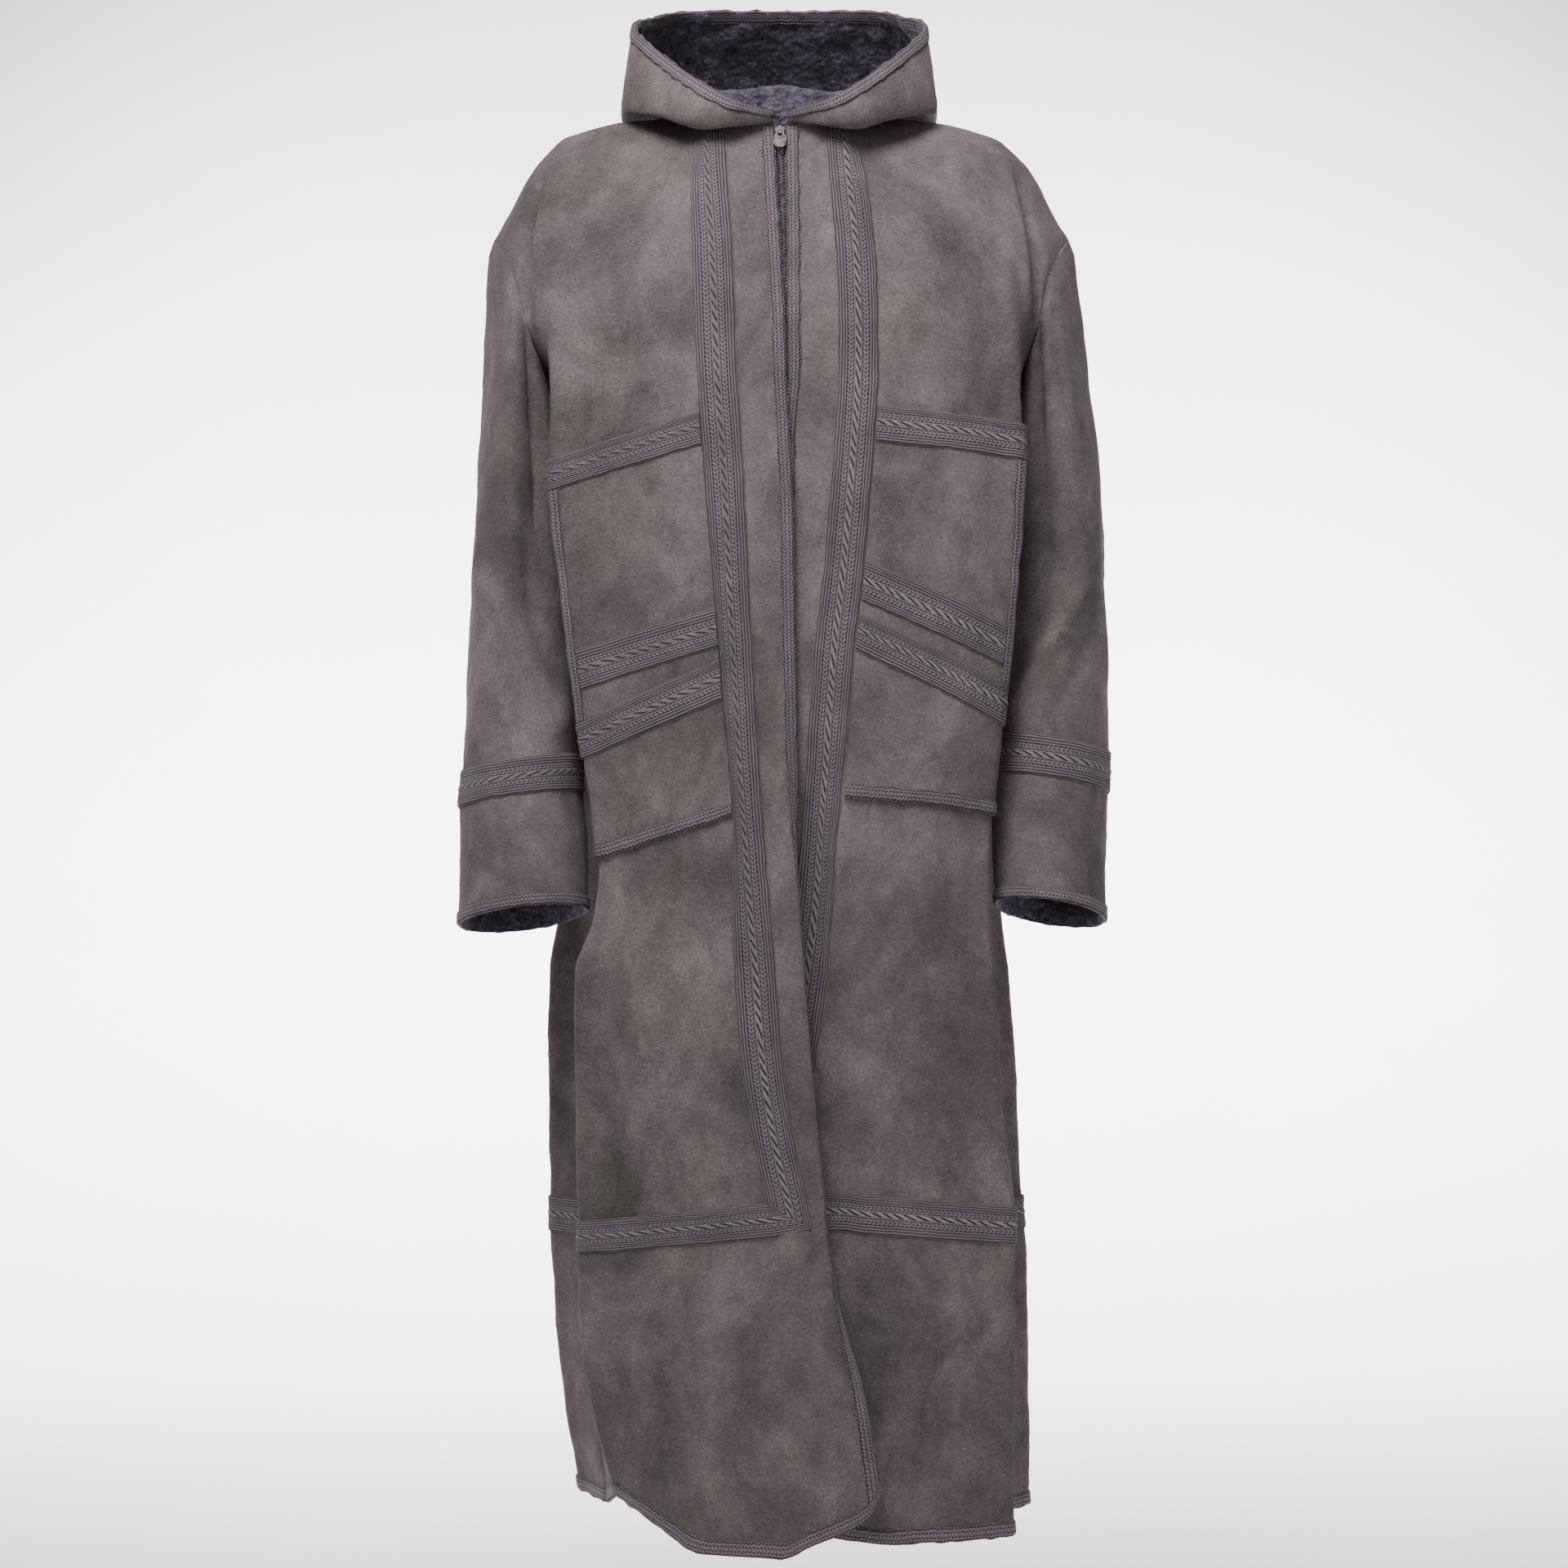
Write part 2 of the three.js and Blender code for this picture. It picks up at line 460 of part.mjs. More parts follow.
const DRAWN_BACK = SEAM_GAP / 2 + 0.02; // a hair over half the gap
const SHARPEST = 0.5; // limit at a sharp corner, where a border point would otherwise draw back too far

// A closed wall over triangles, from `inner` to `outer` out of the cloth's face. Its borders draw back by
// half the seam gap, so that neighbours stay apart.
function wall(triangles, inner, outer, normalAt = (p) => normals.get(pointKey(p))) {
  const ids = new Map();
  const points = [];
  const faces = [];
  for (const triangle of triangles) {
    const face = triangle.map((p) => {
      const key = pointKey(p);
      if (!ids.has(key)) {
        ids.set(key, points.length);
        points.push(p);
      }
      return ids.get(key);
    });
    if (new Set(face).size === 3) faces.push(face);
  }
  const edges = new Map();
  for (const face of faces) {
    face.forEach((a, k) => edges.set(`${a},${face[(k + 1) % 3]}`, [a, face[(k + 1) % 3], face]));
  }
  const borders = [...edges.values()].filter(([a, b]) => !edges.has(`${b},${a}`));
  const pull = points.map(() => []);
  for (const [a, b, face] of borders) {
    const along = points[b].clone().sub(points[a]);
    const [p, q, r] = face.map((id) => points[id]);
    const out = q.clone().sub(p).cross(r.clone().sub(p));
    const inward = out.cross(along).normalize();
    pull[a].push(inward);
    pull[b].push(inward);
  }
  const seated = points.map((p, id) => {
    if (!pull[id].length) return p.clone();
    const mean = pull[id].reduce((sum, v) => sum.add(v), new THREE.Vector3()).normalize();
    const least = Math.max(Math.min(...pull[id].map((v) => v.dot(mean))), SHARPEST);
    return p.clone().addScaledVector(mean, DRAWN_BACK / least);
  });
  const layer = (depth) => seated.map((p, id) => p.clone().addScaledVector(normalAt(points[id]), depth));
  const positions = [...layer(outer), ...layer(inner)].flatMap((p) => [p.x, p.y, p.z]);
  const n = points.length;
  const index = [];
  for (const [a, b, c] of faces) index.push(a, b, c, c + n, b + n, a + n);
  for (const [a, b] of borders) { // both sides of a seam split its face along the same diagonal
    if (pointKey(points[a]) < pointKey(points[b])) index.push(b, a, a + n, b, a + n, b + n);
    else index.push(b, a, b + n, a, a + n, b + n);
  }
  const geometry = new THREE.BufferGeometry();
  geometry.setAttribute('position', new THREE.Float32BufferAttribute(positions, 3));
  geometry.setIndex(index);
  geometry.computeVertexNormals();
  return geometry;
}

const group = new THREE.Group();
function addPiece(name, geometry, material) {
  const mesh = new THREE.Mesh(geometry, new THREE.MeshStandardMaterial({
    color: COLOURS[material], roughness: ROUGHNESS[material], metalness: material === 'metal' ? 1 : 0,
  }));
  mesh.name = name;
  group.add(mesh);
}

const part = (net, rows, columns) => netTriangles(net.rows, net.flip, rows, columns);

function addPanels() {
  addPiece('front_right', wall(part(NETS.frontRight), -CLOTH, 0), 'suede');
  addPiece('front_left', wall(part(NETS.frontLeft), -CLOTH, 0), 'suede');
  addPiece('back', wall(part(NETS.back), -CLOTH, 0), 'suede');
  addPiece('sleeve_right', wall(part(NETS.sleeveRight), -CLOTH, 0), 'suede');
  addPiece('sleeve_left', wall(part(NETS.sleeveLeft), -CLOTH, 0), 'suede');
  addPiece('hood_right', wall(part(NETS.hoodRight), -CLOTH, 0), 'suede');
  addPiece('hood_left', wall(part(NETS.hoodLeft), -CLOTH, 0), 'suede');
}

// ---- trims ----
const ON_PANEL = [SEAM_GAP, SEAM_GAP + BRAID_THICKNESS];
const ON_POCKET = [2 * SEAM_GAP + POCKET_THICKNESS, 2 * SEAM_GAP + POCKET_THICKNESS + BRAID_THICKNESS];

function addBraid(name, triangles, [inner, outer] = ON_PANEL) {
  addPiece(name, wall(triangles, inner, outer), 'braid');
}

// The mitre cuts the last cell of the upright and the first of the band along one diagonal.
function mitre(net) {
  const { rows, flip } = net;
  const [top, bottom] = [rows[row.skirtBandTop], rows[row.skirtBandBottom]];
  const [tipIn, low, tipOut, high] = [bottom[EDGE_COLUMN.braidIn], bottom[EDGE_COLUMN.braidOut],
    top[EDGE_COLUMN.braidOut], top[EDGE_COLUMN.braidIn]];
  const [lowMiddle, highMiddle] = [bottom[EDGE_COLUMN.braidMiddle], top[EDGE_COLUMN.braidMiddle]];
  const middleNormal = normals.get(pointKey(lowMiddle)).clone().add(normals.get(pointKey(highMiddle)));
  middleNormal.normalize();
  const centre = lowMiddle.clone().lerp(highMiddle, 0.5).addScaledVector(middleNormal, SEAM_GAP);
  normals.set(pointKey(centre), middleNormal);
  const face = (t) => (flip ? [t[0], t[2], t[1]] : t);
  const upright = [[high, tipIn, centre], [high, centre, highMiddle], [highMiddle, centre, tipOut]];
  const band = [[tipIn, lowMiddle, centre], [centre, lowMiddle, low], [centre, low, tipOut]];
  return { upright: upright.map(face), band: band.map(face) };
}

function addFrontTrims(side, net) {
  const c = EDGE_COLUMN;
  const corner = mitre(net);
  addBraid(`front_edge_braid_${side}`, part(net, [0, row.hemTop], [c.edge, c.narrow]));
  addBraid(`front_braid_${side}`,
    [...part(net, [0, row.skirtBandTop], [c.braidIn, c.braidOut]), ...corner.upright]);
  addBraid(`skirt_band_${side}`, [...corner.band,
    ...part(net, [row.skirtBandTop, row.skirtBandBottom], [c.braidOut, SIDE_COLUMN])]);
  addBraid(`hem_braid_${side}`, part(net, [row.hemTop, LAST_ROW], [c.edge, SIDE_COLUMN]));
}

function addPocket(side, net) {
  const across = [EDGE_COLUMN.pocket, FOLD_COLUMN];
  const inside = [EDGE_COLUMN.pocket, MOUTH_COLUMN];
  addPiece(`pocket_${side}`, wall(part(net, [row.bandTop, row.hemBandBottom], across),
    SEAM_GAP, SEAM_GAP + POCKET_THICKNESS), 'suede');
  addBraid(`pocket_top_braid_${side}`, part(net, [row.bandTop, row.bandBottom], across), ON_POCKET);
  addBraid(`pocket_upper_slant_${side}`, part(net, [row.slantTop, row.slantBottom], inside), ON_POCKET);
  addBraid(`pocket_lower_slant_${side}`, part(net, [row.lowSlantTop, row.lowSlantBottom], across), ON_POCKET);
  addBraid(`pocket_mouth_braid_${side}`,
    part(net, [row.bandBottom, row.lowSlantTop], [MOUTH_COLUMN, FOLD_COLUMN]), ON_POCKET);
  addBraid(`pocket_bottom_braid_${side}`, part(net, [row.hemBandTop, row.hemBandBottom], across), ON_POCKET);
}

function addSleeveTrims(side, net) {
  const first = ARMHOLE_BLEND.length + 1; // row of the table's first ring
  const [top, bottom] = SLEEVE_BRAID_RINGS.map((k) => first + k);
  const last = net.rows.length - 1;
  addBraid(`sleeve_braid_${side}`, part(net, [top, bottom]));
  addBraid(`cuff_braid_${side}`, part(net, [last - 1, last]));
}

function addBackTrims() {
  addBraid('skirt_band_back', part(NETS.back, [row.skirtBandTop, row.skirtBandBottom]));
  addBraid('hem_braid_back', part(NETS.back, [row.hemTop, LAST_ROW]));
}

function addHoodBraid() {
  const rows = [HOOD_ROWS - 1, HOOD_ROWS];
  addBraid('hood_braid', [...part(NETS.hoodRight, rows), ...part(NETS.hoodLeft, rows)]);
}

// ---- zip ----
const facing = new THREE.Vector3(0, -1, 0);
const ZIP_ROWS = [-28, -45, -70, -100, -140, -180, -220, -260, -300, -340, -380, -430, -480, -530, -580,
  -645];

function addZip() {
  const middle = (z) => pointOnLine(ZIP_LINE, z);
  const beside = (z, dx) => middle(z).add(new THREE.Vector3(dx, 0, 0));
  const chain = ZIP_ROWS.map((z) => [beside(z, -ZIP_HALF_WIDTH), beside(z, ZIP_HALF_WIDTH)]);
  const half = ZIP_DEPTH / 2;
  addPiece('zip_teeth', wall(netTriangles(chain, false), -half, half, () => facing), 'tape');
  const behind = (panel, z, sign) => {
    const [near, far] = [pointOnLine(panel.edge, z), pointOnLine(panel.braid, z)];
    const chain = beside(z, sign * (ZIP_HALF_WIDTH + SEAM_GAP / 2));
    const x = chain.x + sign * TAPE_WIDTH;
    const share = THREE.MathUtils.clamp((x - near.x) / (far.x - near.x), 0, 1);
    return { seam: new THREE.Vector3(x, near.y + (far.y - near.y) * share + TAPE_BEHIND, z), chain };
  };
  for (const [side, panel, sign] of [['right', RIGHT_FRONT, -1], ['left', LEFT_FRONT, 1]]) {
    const tape = ZIP_ROWS.map((z) => {
      const { seam, chain: beginning } = behind(panel, z, sign);
      return [seam, beginning];
    });
    addPiece(`zip_tape_${side}`,
      wall(netTriangles(tape, sign > 0), -TAPE_THICKNESS, 0, () => facing), 'tape');
  }
}

// ---- slider and pull ----
const wasm = await Module();
wasm.setup();

function solidOf(geometry) {
  const soup = geometry.index ? geometry.toNonIndexed() : geometry;
  const position = soup.attributes.position;
  const ids = new Map();
  const vertices = [];
  const triangles = [];
  for (let k = 0; k < position.count; k += 1) {
    const p = new THREE.Vector3().fromBufferAttribute(position, k);
    const key = pointKey(p);
    if (!ids.has(key)) {
      ids.set(key, vertices.length / 3);
      vertices.push(p.x, p.y, p.z);
    }
    triangles.push(ids.get(key));
  }
  return new wasm.Manifold(new wasm.Mesh({
    numProp: 3, vertProperties: new Float32Array(vertices), triVerts: new Uint32Array(triangles),
  }));
}

function geometryOf(solid) {
  const mesh = solid.getMesh();
  const geometry = new THREE.BufferGeometry();
  geometry.setAttribute('position', new THREE.BufferAttribute(new Float32Array(mesh.vertProperties), 3));
  geometry.setIndex(new THREE.BufferAttribute(new Uint32Array(mesh.triVerts), 1));
  geometry.computeVertexNormals();
  return geometry;
}

// An outline in the XZ plane as a plate centred on the XZ plane, `depth` thick along Y.
function plate(outline, depth, holes = []) {
  const shape = new THREE.Shape(outline);
  for (const hole of holes) shape.holes.push(new THREE.Path(hole));
  const geometry = new THREE.ExtrudeGeometry(shape, { depth, bevelEnabled: false, curveSegments: 6 });
  geometry.translate(0, 0, -depth / 2);
  geometry.rotateX(Math.PI / 2);
  return geometry;
}

function rectangle(width, top, bottom) {
  const half = width / 2;
  return [[-half, bottom], [half, bottom], [half, top], [-half, top]].map((p) => new THREE.Vector2(...p));
}

// Both lean back with the chest: they are made upright round the bar's axis, then turned.
const lean = -THREE.MathUtils.degToRad(SLIDER.lean);
const BAR_FORWARD = SLIDER.depth / 2 + BRIDGE.gap / 2; // from the slider's middle to the bar's axis

function placed(geometry) {
  geometry.rotateX(lean);
  geometry.translate(SLIDER.x, SLIDER.y, SLIDER.z);
  return geometry;
}

function addSlider() {
  const { width, height, depth } = SLIDER;
  const outline = SLIDER_OUTLINE.map(([x, z]) => new THREE.Vector2(x * width, z * height));
  const body = solidOf(plate(outline, depth));
  const arch = solidOf(new THREE.BoxGeometry(BRIDGE.width, BRIDGE.reach + ROOT, BRIDGE.height)
    .translate(0, -(depth / 2) - BRIDGE.reach / 2 + ROOT / 2, 0));
  const eye = solidOf(new THREE.BoxGeometry(2 * BRIDGE.width, BRIDGE.gap, BRIDGE.height - 2 * BRIDGE.bar)
    .translate(0, -(depth / 2) - BRIDGE.gap / 2, 0));
  addPiece('zip_slider', placed(geometryOf(body.add(arch.subtract(eye)))), 'metal');
}

function addPull() {
  const { width, length, thickness, window, bar, corner, web } = PULL;
  const neck = window + 2 * bar;
  const top = bar / 2;
  const shoulder = -BRIDGE.height / 2 - bar;
  const bottom = shoulder - length;
  const outline = [[-neck / 2, top], [-neck / 2, shoulder + corner], [-width / 2, shoulder],
    [-width / 2, bottom + corner], [-width / 2 + corner, bottom], [width / 2 - corner, bottom],
    [width / 2, bottom + corner], [width / 2, shoulder], [neck / 2, shoulder + corner], [neck / 2, top]];
  const hole = rectangle(window, -bar / 2, shoulder + web);
  const tab = plate(outline.map((p) => new THREE.Vector2(...p)), thickness, [hole]);
  tab.translate(0, -BAR_FORWARD, 0);
  addPiece('zip_pull', placed(geometryOf(solidOf(tab))), 'metal');
}

addPanels();
addFrontTrims('right', NETS.frontRight);
addFrontTrims('left', NETS.frontLeft);
addPocket('right', NETS.frontRight);
addPocket('left', NETS.frontLeft);
addSleeveTrims('right', NETS.sleeveRight);
addSleeveTrims('left', NETS.sleeveLeft);
addBackTrims();
addHoodBraid();
addZip();
addSlider();
addPull();

export default group;
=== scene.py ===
"""Hooded winter abaya: bonded suede and fur panels, knitted braids, patch pockets and a front zip.

Laid out as an add-on with one operator for each group of pieces and one for the stage. Tables are in
millimetres, +Z up, the front facing -Y and the wearer's right at -X; the meshes are in metres.
"""

import math

import bpy
import numpy as np
from bpy.props import FloatProperty, FloatVectorProperty, PointerProperty
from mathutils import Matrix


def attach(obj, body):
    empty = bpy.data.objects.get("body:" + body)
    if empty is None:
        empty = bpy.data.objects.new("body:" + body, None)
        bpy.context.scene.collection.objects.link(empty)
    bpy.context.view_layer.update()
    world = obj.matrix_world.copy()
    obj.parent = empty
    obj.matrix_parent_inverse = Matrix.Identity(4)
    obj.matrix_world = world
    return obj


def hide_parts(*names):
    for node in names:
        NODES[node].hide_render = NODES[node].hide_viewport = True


bl_info = {
    "name": "Hooded winter abaya",
    "version": (1, 0, 0),
    "blender": (4, 5, 0),
    "location": "3D View > Sidebar > Abaya",
    "description": "Builds the cloth, braids and zip of a hooded abaya round its CAD frame",
    "category": "Object",
}

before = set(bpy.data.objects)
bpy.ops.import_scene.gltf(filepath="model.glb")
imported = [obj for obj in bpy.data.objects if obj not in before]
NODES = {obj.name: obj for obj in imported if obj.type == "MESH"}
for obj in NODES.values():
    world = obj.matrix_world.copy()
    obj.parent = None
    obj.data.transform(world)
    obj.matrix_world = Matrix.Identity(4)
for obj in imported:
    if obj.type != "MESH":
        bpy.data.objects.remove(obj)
MM = 0.001
CLOTH = 3.0
SEAM_GAP = 0.3
WIDE_BRAID = 38.0
NARROW_BRAID = 12.0
POCKET_STEP = 0.5
CORNER_RISE = 24.0
BRAID_THICKNESS = 2.0
POCKET_THICKNESS = 2.5

# ---- the garment's form, as its CAD panels have it ----
# Lines down each panel. Rows hold the height z, then x and y; an edge's last number is how far, in
# degrees, it is turned under.
RIGHT_FRONT = {
    "edge": [(-14, -17.5, -71, 0), (-100, -13, -95, 0), (-211, -7, -118, 0), (-263, -5.5, -123, 0),
              (-363, 0, -126, 0), (-515, 3, -128, 10), (-628, 7, -130, 35), (-727, 15.5, -132, 100),
              (-856, 26.5, -134, 110), (-1031, 43, -138, 110), (-1122, 52, -140, 80),
              (-1213, 70, -142, 15), (-1260, 78, -143, 0), (-1316, 82, -144, 0)],
    "braid": [(-5, -69, -52), (-60, -68, -84), (-135, -63, -106), (-249, -58.5, -122),
               (-351, -51.5, -127), (-439, -47.5, -130), (-558, -41, -133), (-628, -37, -134),
               (-700, -32, -136), (-818, -22, -138), (-927, -12.5, -141), (-1000, 2, -143),
               (-1052, 12, -144), (-1350, 5, -150)],
    "pocket": [(12, -92, 0), (-40, -89, -64), (-135, -82.5, -100), (-249, -77.5, -119), (-351, -70, -124),
                (-444, -62, -128), (-558, -53, -131), (-672, -43, -134), (-740, -44, -135.5),
                (-823, -41.5, -136.5), (-927, -32, -140), (-1000, -17.5, -142), (-1052, -7.5, -143),
                (-1130, -15, -145), (-1350, -70, -145.5)],
    "fold": [(-15, -212, 0), (-60, -212, -46), (-120, -215, -75), (-211, -214, -90), (-363, -211, -98),
             (-553, -190, -103), (-700, -168, -106), (-750, -168, -105), (-795, -189, -102),
             (-1031, -188, -98), (-1180, -184, -92), (-1325, -153, -60)],
    "side": [(-111, -279, 0), (-140, -259, -44), (-165, -250, -60), (-190, -243, -66), (-215, -235, -60),
             (-238, -227, -38), (-255, -218, 0), (-300, -190, 0), (-400, -174, 0), (-550, -164, 0),
             (-700, -156, 0), (-800, -166, 5), (-1000, -176, 5), (-1200, -180, 8), (-1325, -168, 10)],
}
LEFT_FRONT = {
    "edge": [(-14, 17.5, -71, 0), (-100, 19, -95, 0), (-211, 19.5, -118, 0), (-250, 19.5, -117, 0),
             (-275, 18, -116.5, 0), (-300, 15.5, -116, 0), (-363, 14, -118, 0), (-515, 3, -117, 0),
             (-628, -9, -112, 0), (-742, -18, -101, 0), (-856, -29, -99, 0), (-1031, -40, -102, 0),
             (-1200, -44, -106, 0), (-1330, -42, -106, 0)],
    "braid": [(-5, 60, -52), (-60, 64.5, -84), (-135, 71, -105), (-249, 73, -121), (-363, 65.5, -125),
               (-443, 58.5, -125), (-515, 50.5, -124), (-628, 42.5, -117), (-742, 33, -105),
               (-818, 25, -103), (-970, 7, -106), (-1052, -4, -110), (-1200, -12, -118),
               (-1345, -16, -122)],
    "pocket": [(12, 92, 0), (-40, 85, -64), (-135, 90.5, -98), (-249, 92.5, -118.5), (-363, 85, -126),
                (-443, 78, -127.5), (-515, 70, -128.5), (-628, 62, -125.5), (-742, 52.5, -116),
                (-818, 44.5, -112), (-970, 27, -113.5), (-1052, 17, -117), (-1130, 28, -119),
                (-1345, 86, -117)],
    "fold": [(-15, 216, 0), (-60, 214, -46), (-120, 222, -75), (-211, 225, -90), (-363, 224, -98),
             (-553, 210, -103), (-700, 197, -104), (-760, 197, -103), (-860, 204, -102), (-935, 205, -101),
             (-1031, 219, -100), (-1180, 219, -98), (-1340, 219, -90)],
    "side": [(-111, 281, 0), (-140, 262, -44), (-165, 253, -60), (-190, 248, -66), (-215, 242, -60),
             (-238, 236, -38), (-255, 228, 0), (-300, 200, 0), (-400, 184, 0), (-550, 176, 0),
             (-700, 172, 0), (-800, 182, 5), (-1000, 190, 5), (-1200, 200, 8), (-1340, 200, 10)],
}
BACK = {
    "middle": [(22, 0, 62), (-40, 0, 88), (-100, 0, 102), (-200, 0, 112), (-400, 0, 116), (-700, 0, 120),
               (-1000, 0, 130), (-1350, 0, 145)],
    "right_blade": [(12, -92, 0), (-20, -94, 45), (-60, -100, 72), (-135, -110, 98), (-249, -112, 112),
                    (-500, -110, 115), (-820, -115, 122), (-1100, -115, 132), (-1345, -105, 142)],
    "left_blade": [(12, 92, 0), (-20, 94, 45), (-60, 100, 72), (-135, 110, 98), (-249, 112, 112),
                   (-500, 112, 113), (-820, 118, 124), (-1100, 120, 134), (-1345, 122, 140)],
    "right_fold": [(-15, -212, 0), (-60, -212, 45), (-120, -218, 72), (-211, -216, 88), (-363, -212, 85),
                   (-500, -205, 75), (-650, -205, 70), (-760, -215, 62), (-820, -226, 55),
                   (-1031, -224, 60), (-1122, -223, 65), (-1260, -212, 75), (-1340, -198, 85)],
    "left_fold": [(-15, 216, 0), (-60, 214, 45), (-120, 222, 72), (-211, 220, 88), (-363, 216, 85),
                  (-500, 210, 75), (-650, 210, 70), (-760, 218, 62), (-820, 224, 55), (-1031, 238, 60),
                  (-1122, 244, 65), (-1260, 246, 70), (-1345, 248, 80)],
}

# Level lines across the panels: the height of each at the front edge, the wide braid, the pocket's inner
# border, the front fold, the side seam and the middle of the back.
EDGE, BRAID, POCKET, FOLD, SIDE, MIDDLE = range(6)
RIGHT_LEVELS = {
    "neck": (-14, -5, 12, -15, -111, 22),
    "collarbone": (-48, -42, -28, -60, -140, -20),
    "yoke": (-85, -82, -75, -105, -165, -60),
    "chest": (-125, -125, -122, -145, -190, -100),
    "armhole": (-165, -168, -168, -185, -215, -150),
    "low_armhole": (-205, -212, -215, -225, -238, -200),
    "underarm": (-245, -252, -256, -265, -255, -255),
    "band_top": (-276, -287, -290, -332, -325, -310),
    "band_bottom": (-305, -318, -321, -362, -360, -345),
    "pocket_upper": (-370, -385, -390, -425, -425, -410),
    "slant_top": (-455, -469, -473, -513, -510, -495),
    "slant_bottom": (-490, -503, -508, -551, -550, -530),
    "low_slant_top": (-502, -515, -520, -579, -578, -550),
    "low_slant_bottom": (-540, -553, -558, -613, -615, -590),
    "pocket_lower": (-598, -610, -615, -655, -658, -635),
    "hem_band_top": (-643, -649, -653, -693, -698, -683),
    "hem_band_bottom": (-655, -661, -665, -706, -711, -696),
    "thigh": (-740, -745, -748, -765, -768, -760),
    "lap": (-800, -803, -805, -810, -812, -815),
    "knee": (-890, -893, -894, -895, -895, -895),
    "calf": (-965, -967, -968, -970, -970, -970),
    "skirt_band_top": (-1015, -1022, -1024, -1045, -1040, -1040),
    "skirt_band_bottom": (-1046, -1052, -1055, -1075, -1075, -1077),
    "shin": (-1120, -1130, -1132, -1140, -1145, -1145),
    "ankle": (-1200, -1220, -1224, -1222, -1230, -1235),
    "hem_top": (-1302, -1336, -1333, -1297, -1319, -1334),
    "hem": (-1316, -1350, -1347, -1311, -1333, -1348),
}
LEFT_LEVELS = {
    **{name: RIGHT_LEVELS[name] for name in
       ("neck", "collarbone", "yoke", "chest", "armhole", "low_armhole")},
    "underarm": (-245, -250, -253, -258, -255, -255),
    "band_top": (-272, -281, -284, -300, -320, -310),
    "band_bottom": (-305, -315, -318, -334, -355, -345),
    "pocket_upper": (-360, -372, -377, -405, -420, -410),
    "slant_top": (-412, -424, -428, -490, -500, -495),
    "slant_bottom": (-450, -462, -466, -528, -535, -530),
    "low_slant_top": (-462, -473, -478, -543, -550, -550),
    "low_slant_bottom": (-497, -508, -512, -581, -590, -590),
    "pocket_lower": (-570, -580, -583, -615, -635, -635),
    "hem_band_top": (-621, -633, -635, -653, -693, -683),
    "hem_band_bottom": (-634, -646, -648, -666, -704, -696),
    "thigh": (-730, -735, -738, -748, -765, -760),
    "lap": (-800, -802, -804, -808, -810, -815),
    "knee": (-890, -892, -893, -895, -895, -895),
    "calf": (-965, -966, -967, -968, -970, -970),
    "skirt_band_top": (-1010, -1012, -1015, -1032, -1040, -1040),
    "skirt_band_bottom": (-1045, -1047, -1050, -1067, -1073, -1077),
    "shin": (-1120, -1128, -1130, -1138, -1145, -1145),
    "ankle": (-1200, -1215, -1218, -1225, -1232, -1235),
    "hem_top": (-1304, -1313, -1330, -1328, -1334, -1334),
    "hem": (-1318, -1327, -1344, -1342, -1348, -1348),
}

# Sleeve rings: z, x, y, half width, half depth, and how much higher the ring is on the body's side and at
# the front than at its middle.
RIGHT_SLEEVE = [
    (-330, -245, 0, 46, 72, 0, 0), (-395, -246, 0, 49, 73, 2, 0), (-455, -247, -2, 52, 74, 4, 0),
    (-500, -246, -6, 55, 74, 6, 0), (-555, -246, -14, 55, 73, 7, 2), (-616, -247, -27, 56, 72, 8, 4),
    (-652, -247, -34, 58, 71, 8, 6), (-700, -244, -44, 60, 71, 8, 9), (-752, -244, -52.5, 61, 72, 8, 13),
    (-764, -244, -54, 61, 72, 8, 14),
]
LEFT_SLEEVE = [
    (-330, 260, 0, 48, 72, 0, 0), (-395, 262, 0, 50, 73, 2, 0), (-455, 262, -2, 51, 74, 4, 0),
    (-500, 262, -6, 52, 74, 6, 0), (-545, 261, -14, 53, 73, 7, 2), (-596, 261, -26, 53, 72, 9, 4),
    (-636, 260, -34, 53, 71, 9, 6), (-690, 259, -44, 53, 70, 9, 9), (-746, 258, -52.5, 53, 70, 9, 13),
    (-758, 258, -54, 53, 70, 9, 14),
]
SLEEVE_BRAID_RINGS = (5, 6)
ARMHOLE_BLEND = (0.3, 0.65)

# Sections of the worn hood from the front point of the neck round to its back: the neckline column, then
# stand, crest, bottom of the pouch, its outer side, the standing wall and the face edge.
HOOD_SECTIONS = [
    (0, (-6, -73, -12), (-6.5, -74.5, -11), (-7, -76, -10), (-7.5, -78, -9), (-8.5, -80.5, -7.5),
     (-9.5, -84, -3)),
    (3, (-66, -57, 3), (-71, -66, 6), (-77, -76, -16), (-80, -85, -12), (-77, -88, 4), (-66, -84, 20)),
    (5, (-96, -2, 34), (-105, -3, 50), (-141, -8, 13), (-152, -8, 14), (-150, -6, 45), (-141, -2, 93)),
    (6, (-84, 36, 37), (-97, 48, 46), (-134, 86, -16), (-143, 94, 6), (-141, 80, 58), (-123, 46, 116)),
    (7, (-50, 60, 34), (-58, 72, 35), (-98, 142, -78), (-108, 170, -30), (-108, 140, 58), (-91, 82, 130)),
    (8, (0, 69, 37), (0, 81, 36), (0, 146, -172), (0, 194, -120), (0, 172, 36), (0, 98, 134)),
]
HOOD_ROWS = 8

ZIP_LINE = [(-27, 0, -71.4), (-100, 3, -90.6), (-160, 4, -103), (-211, 4.8, -112.6), (-260, 8, -111.6),
            (-300, 8.5, -111), (-363, 7, -113), (-515, -6, -112), (-628, -20, -107), (-645, -22, -105.6)]

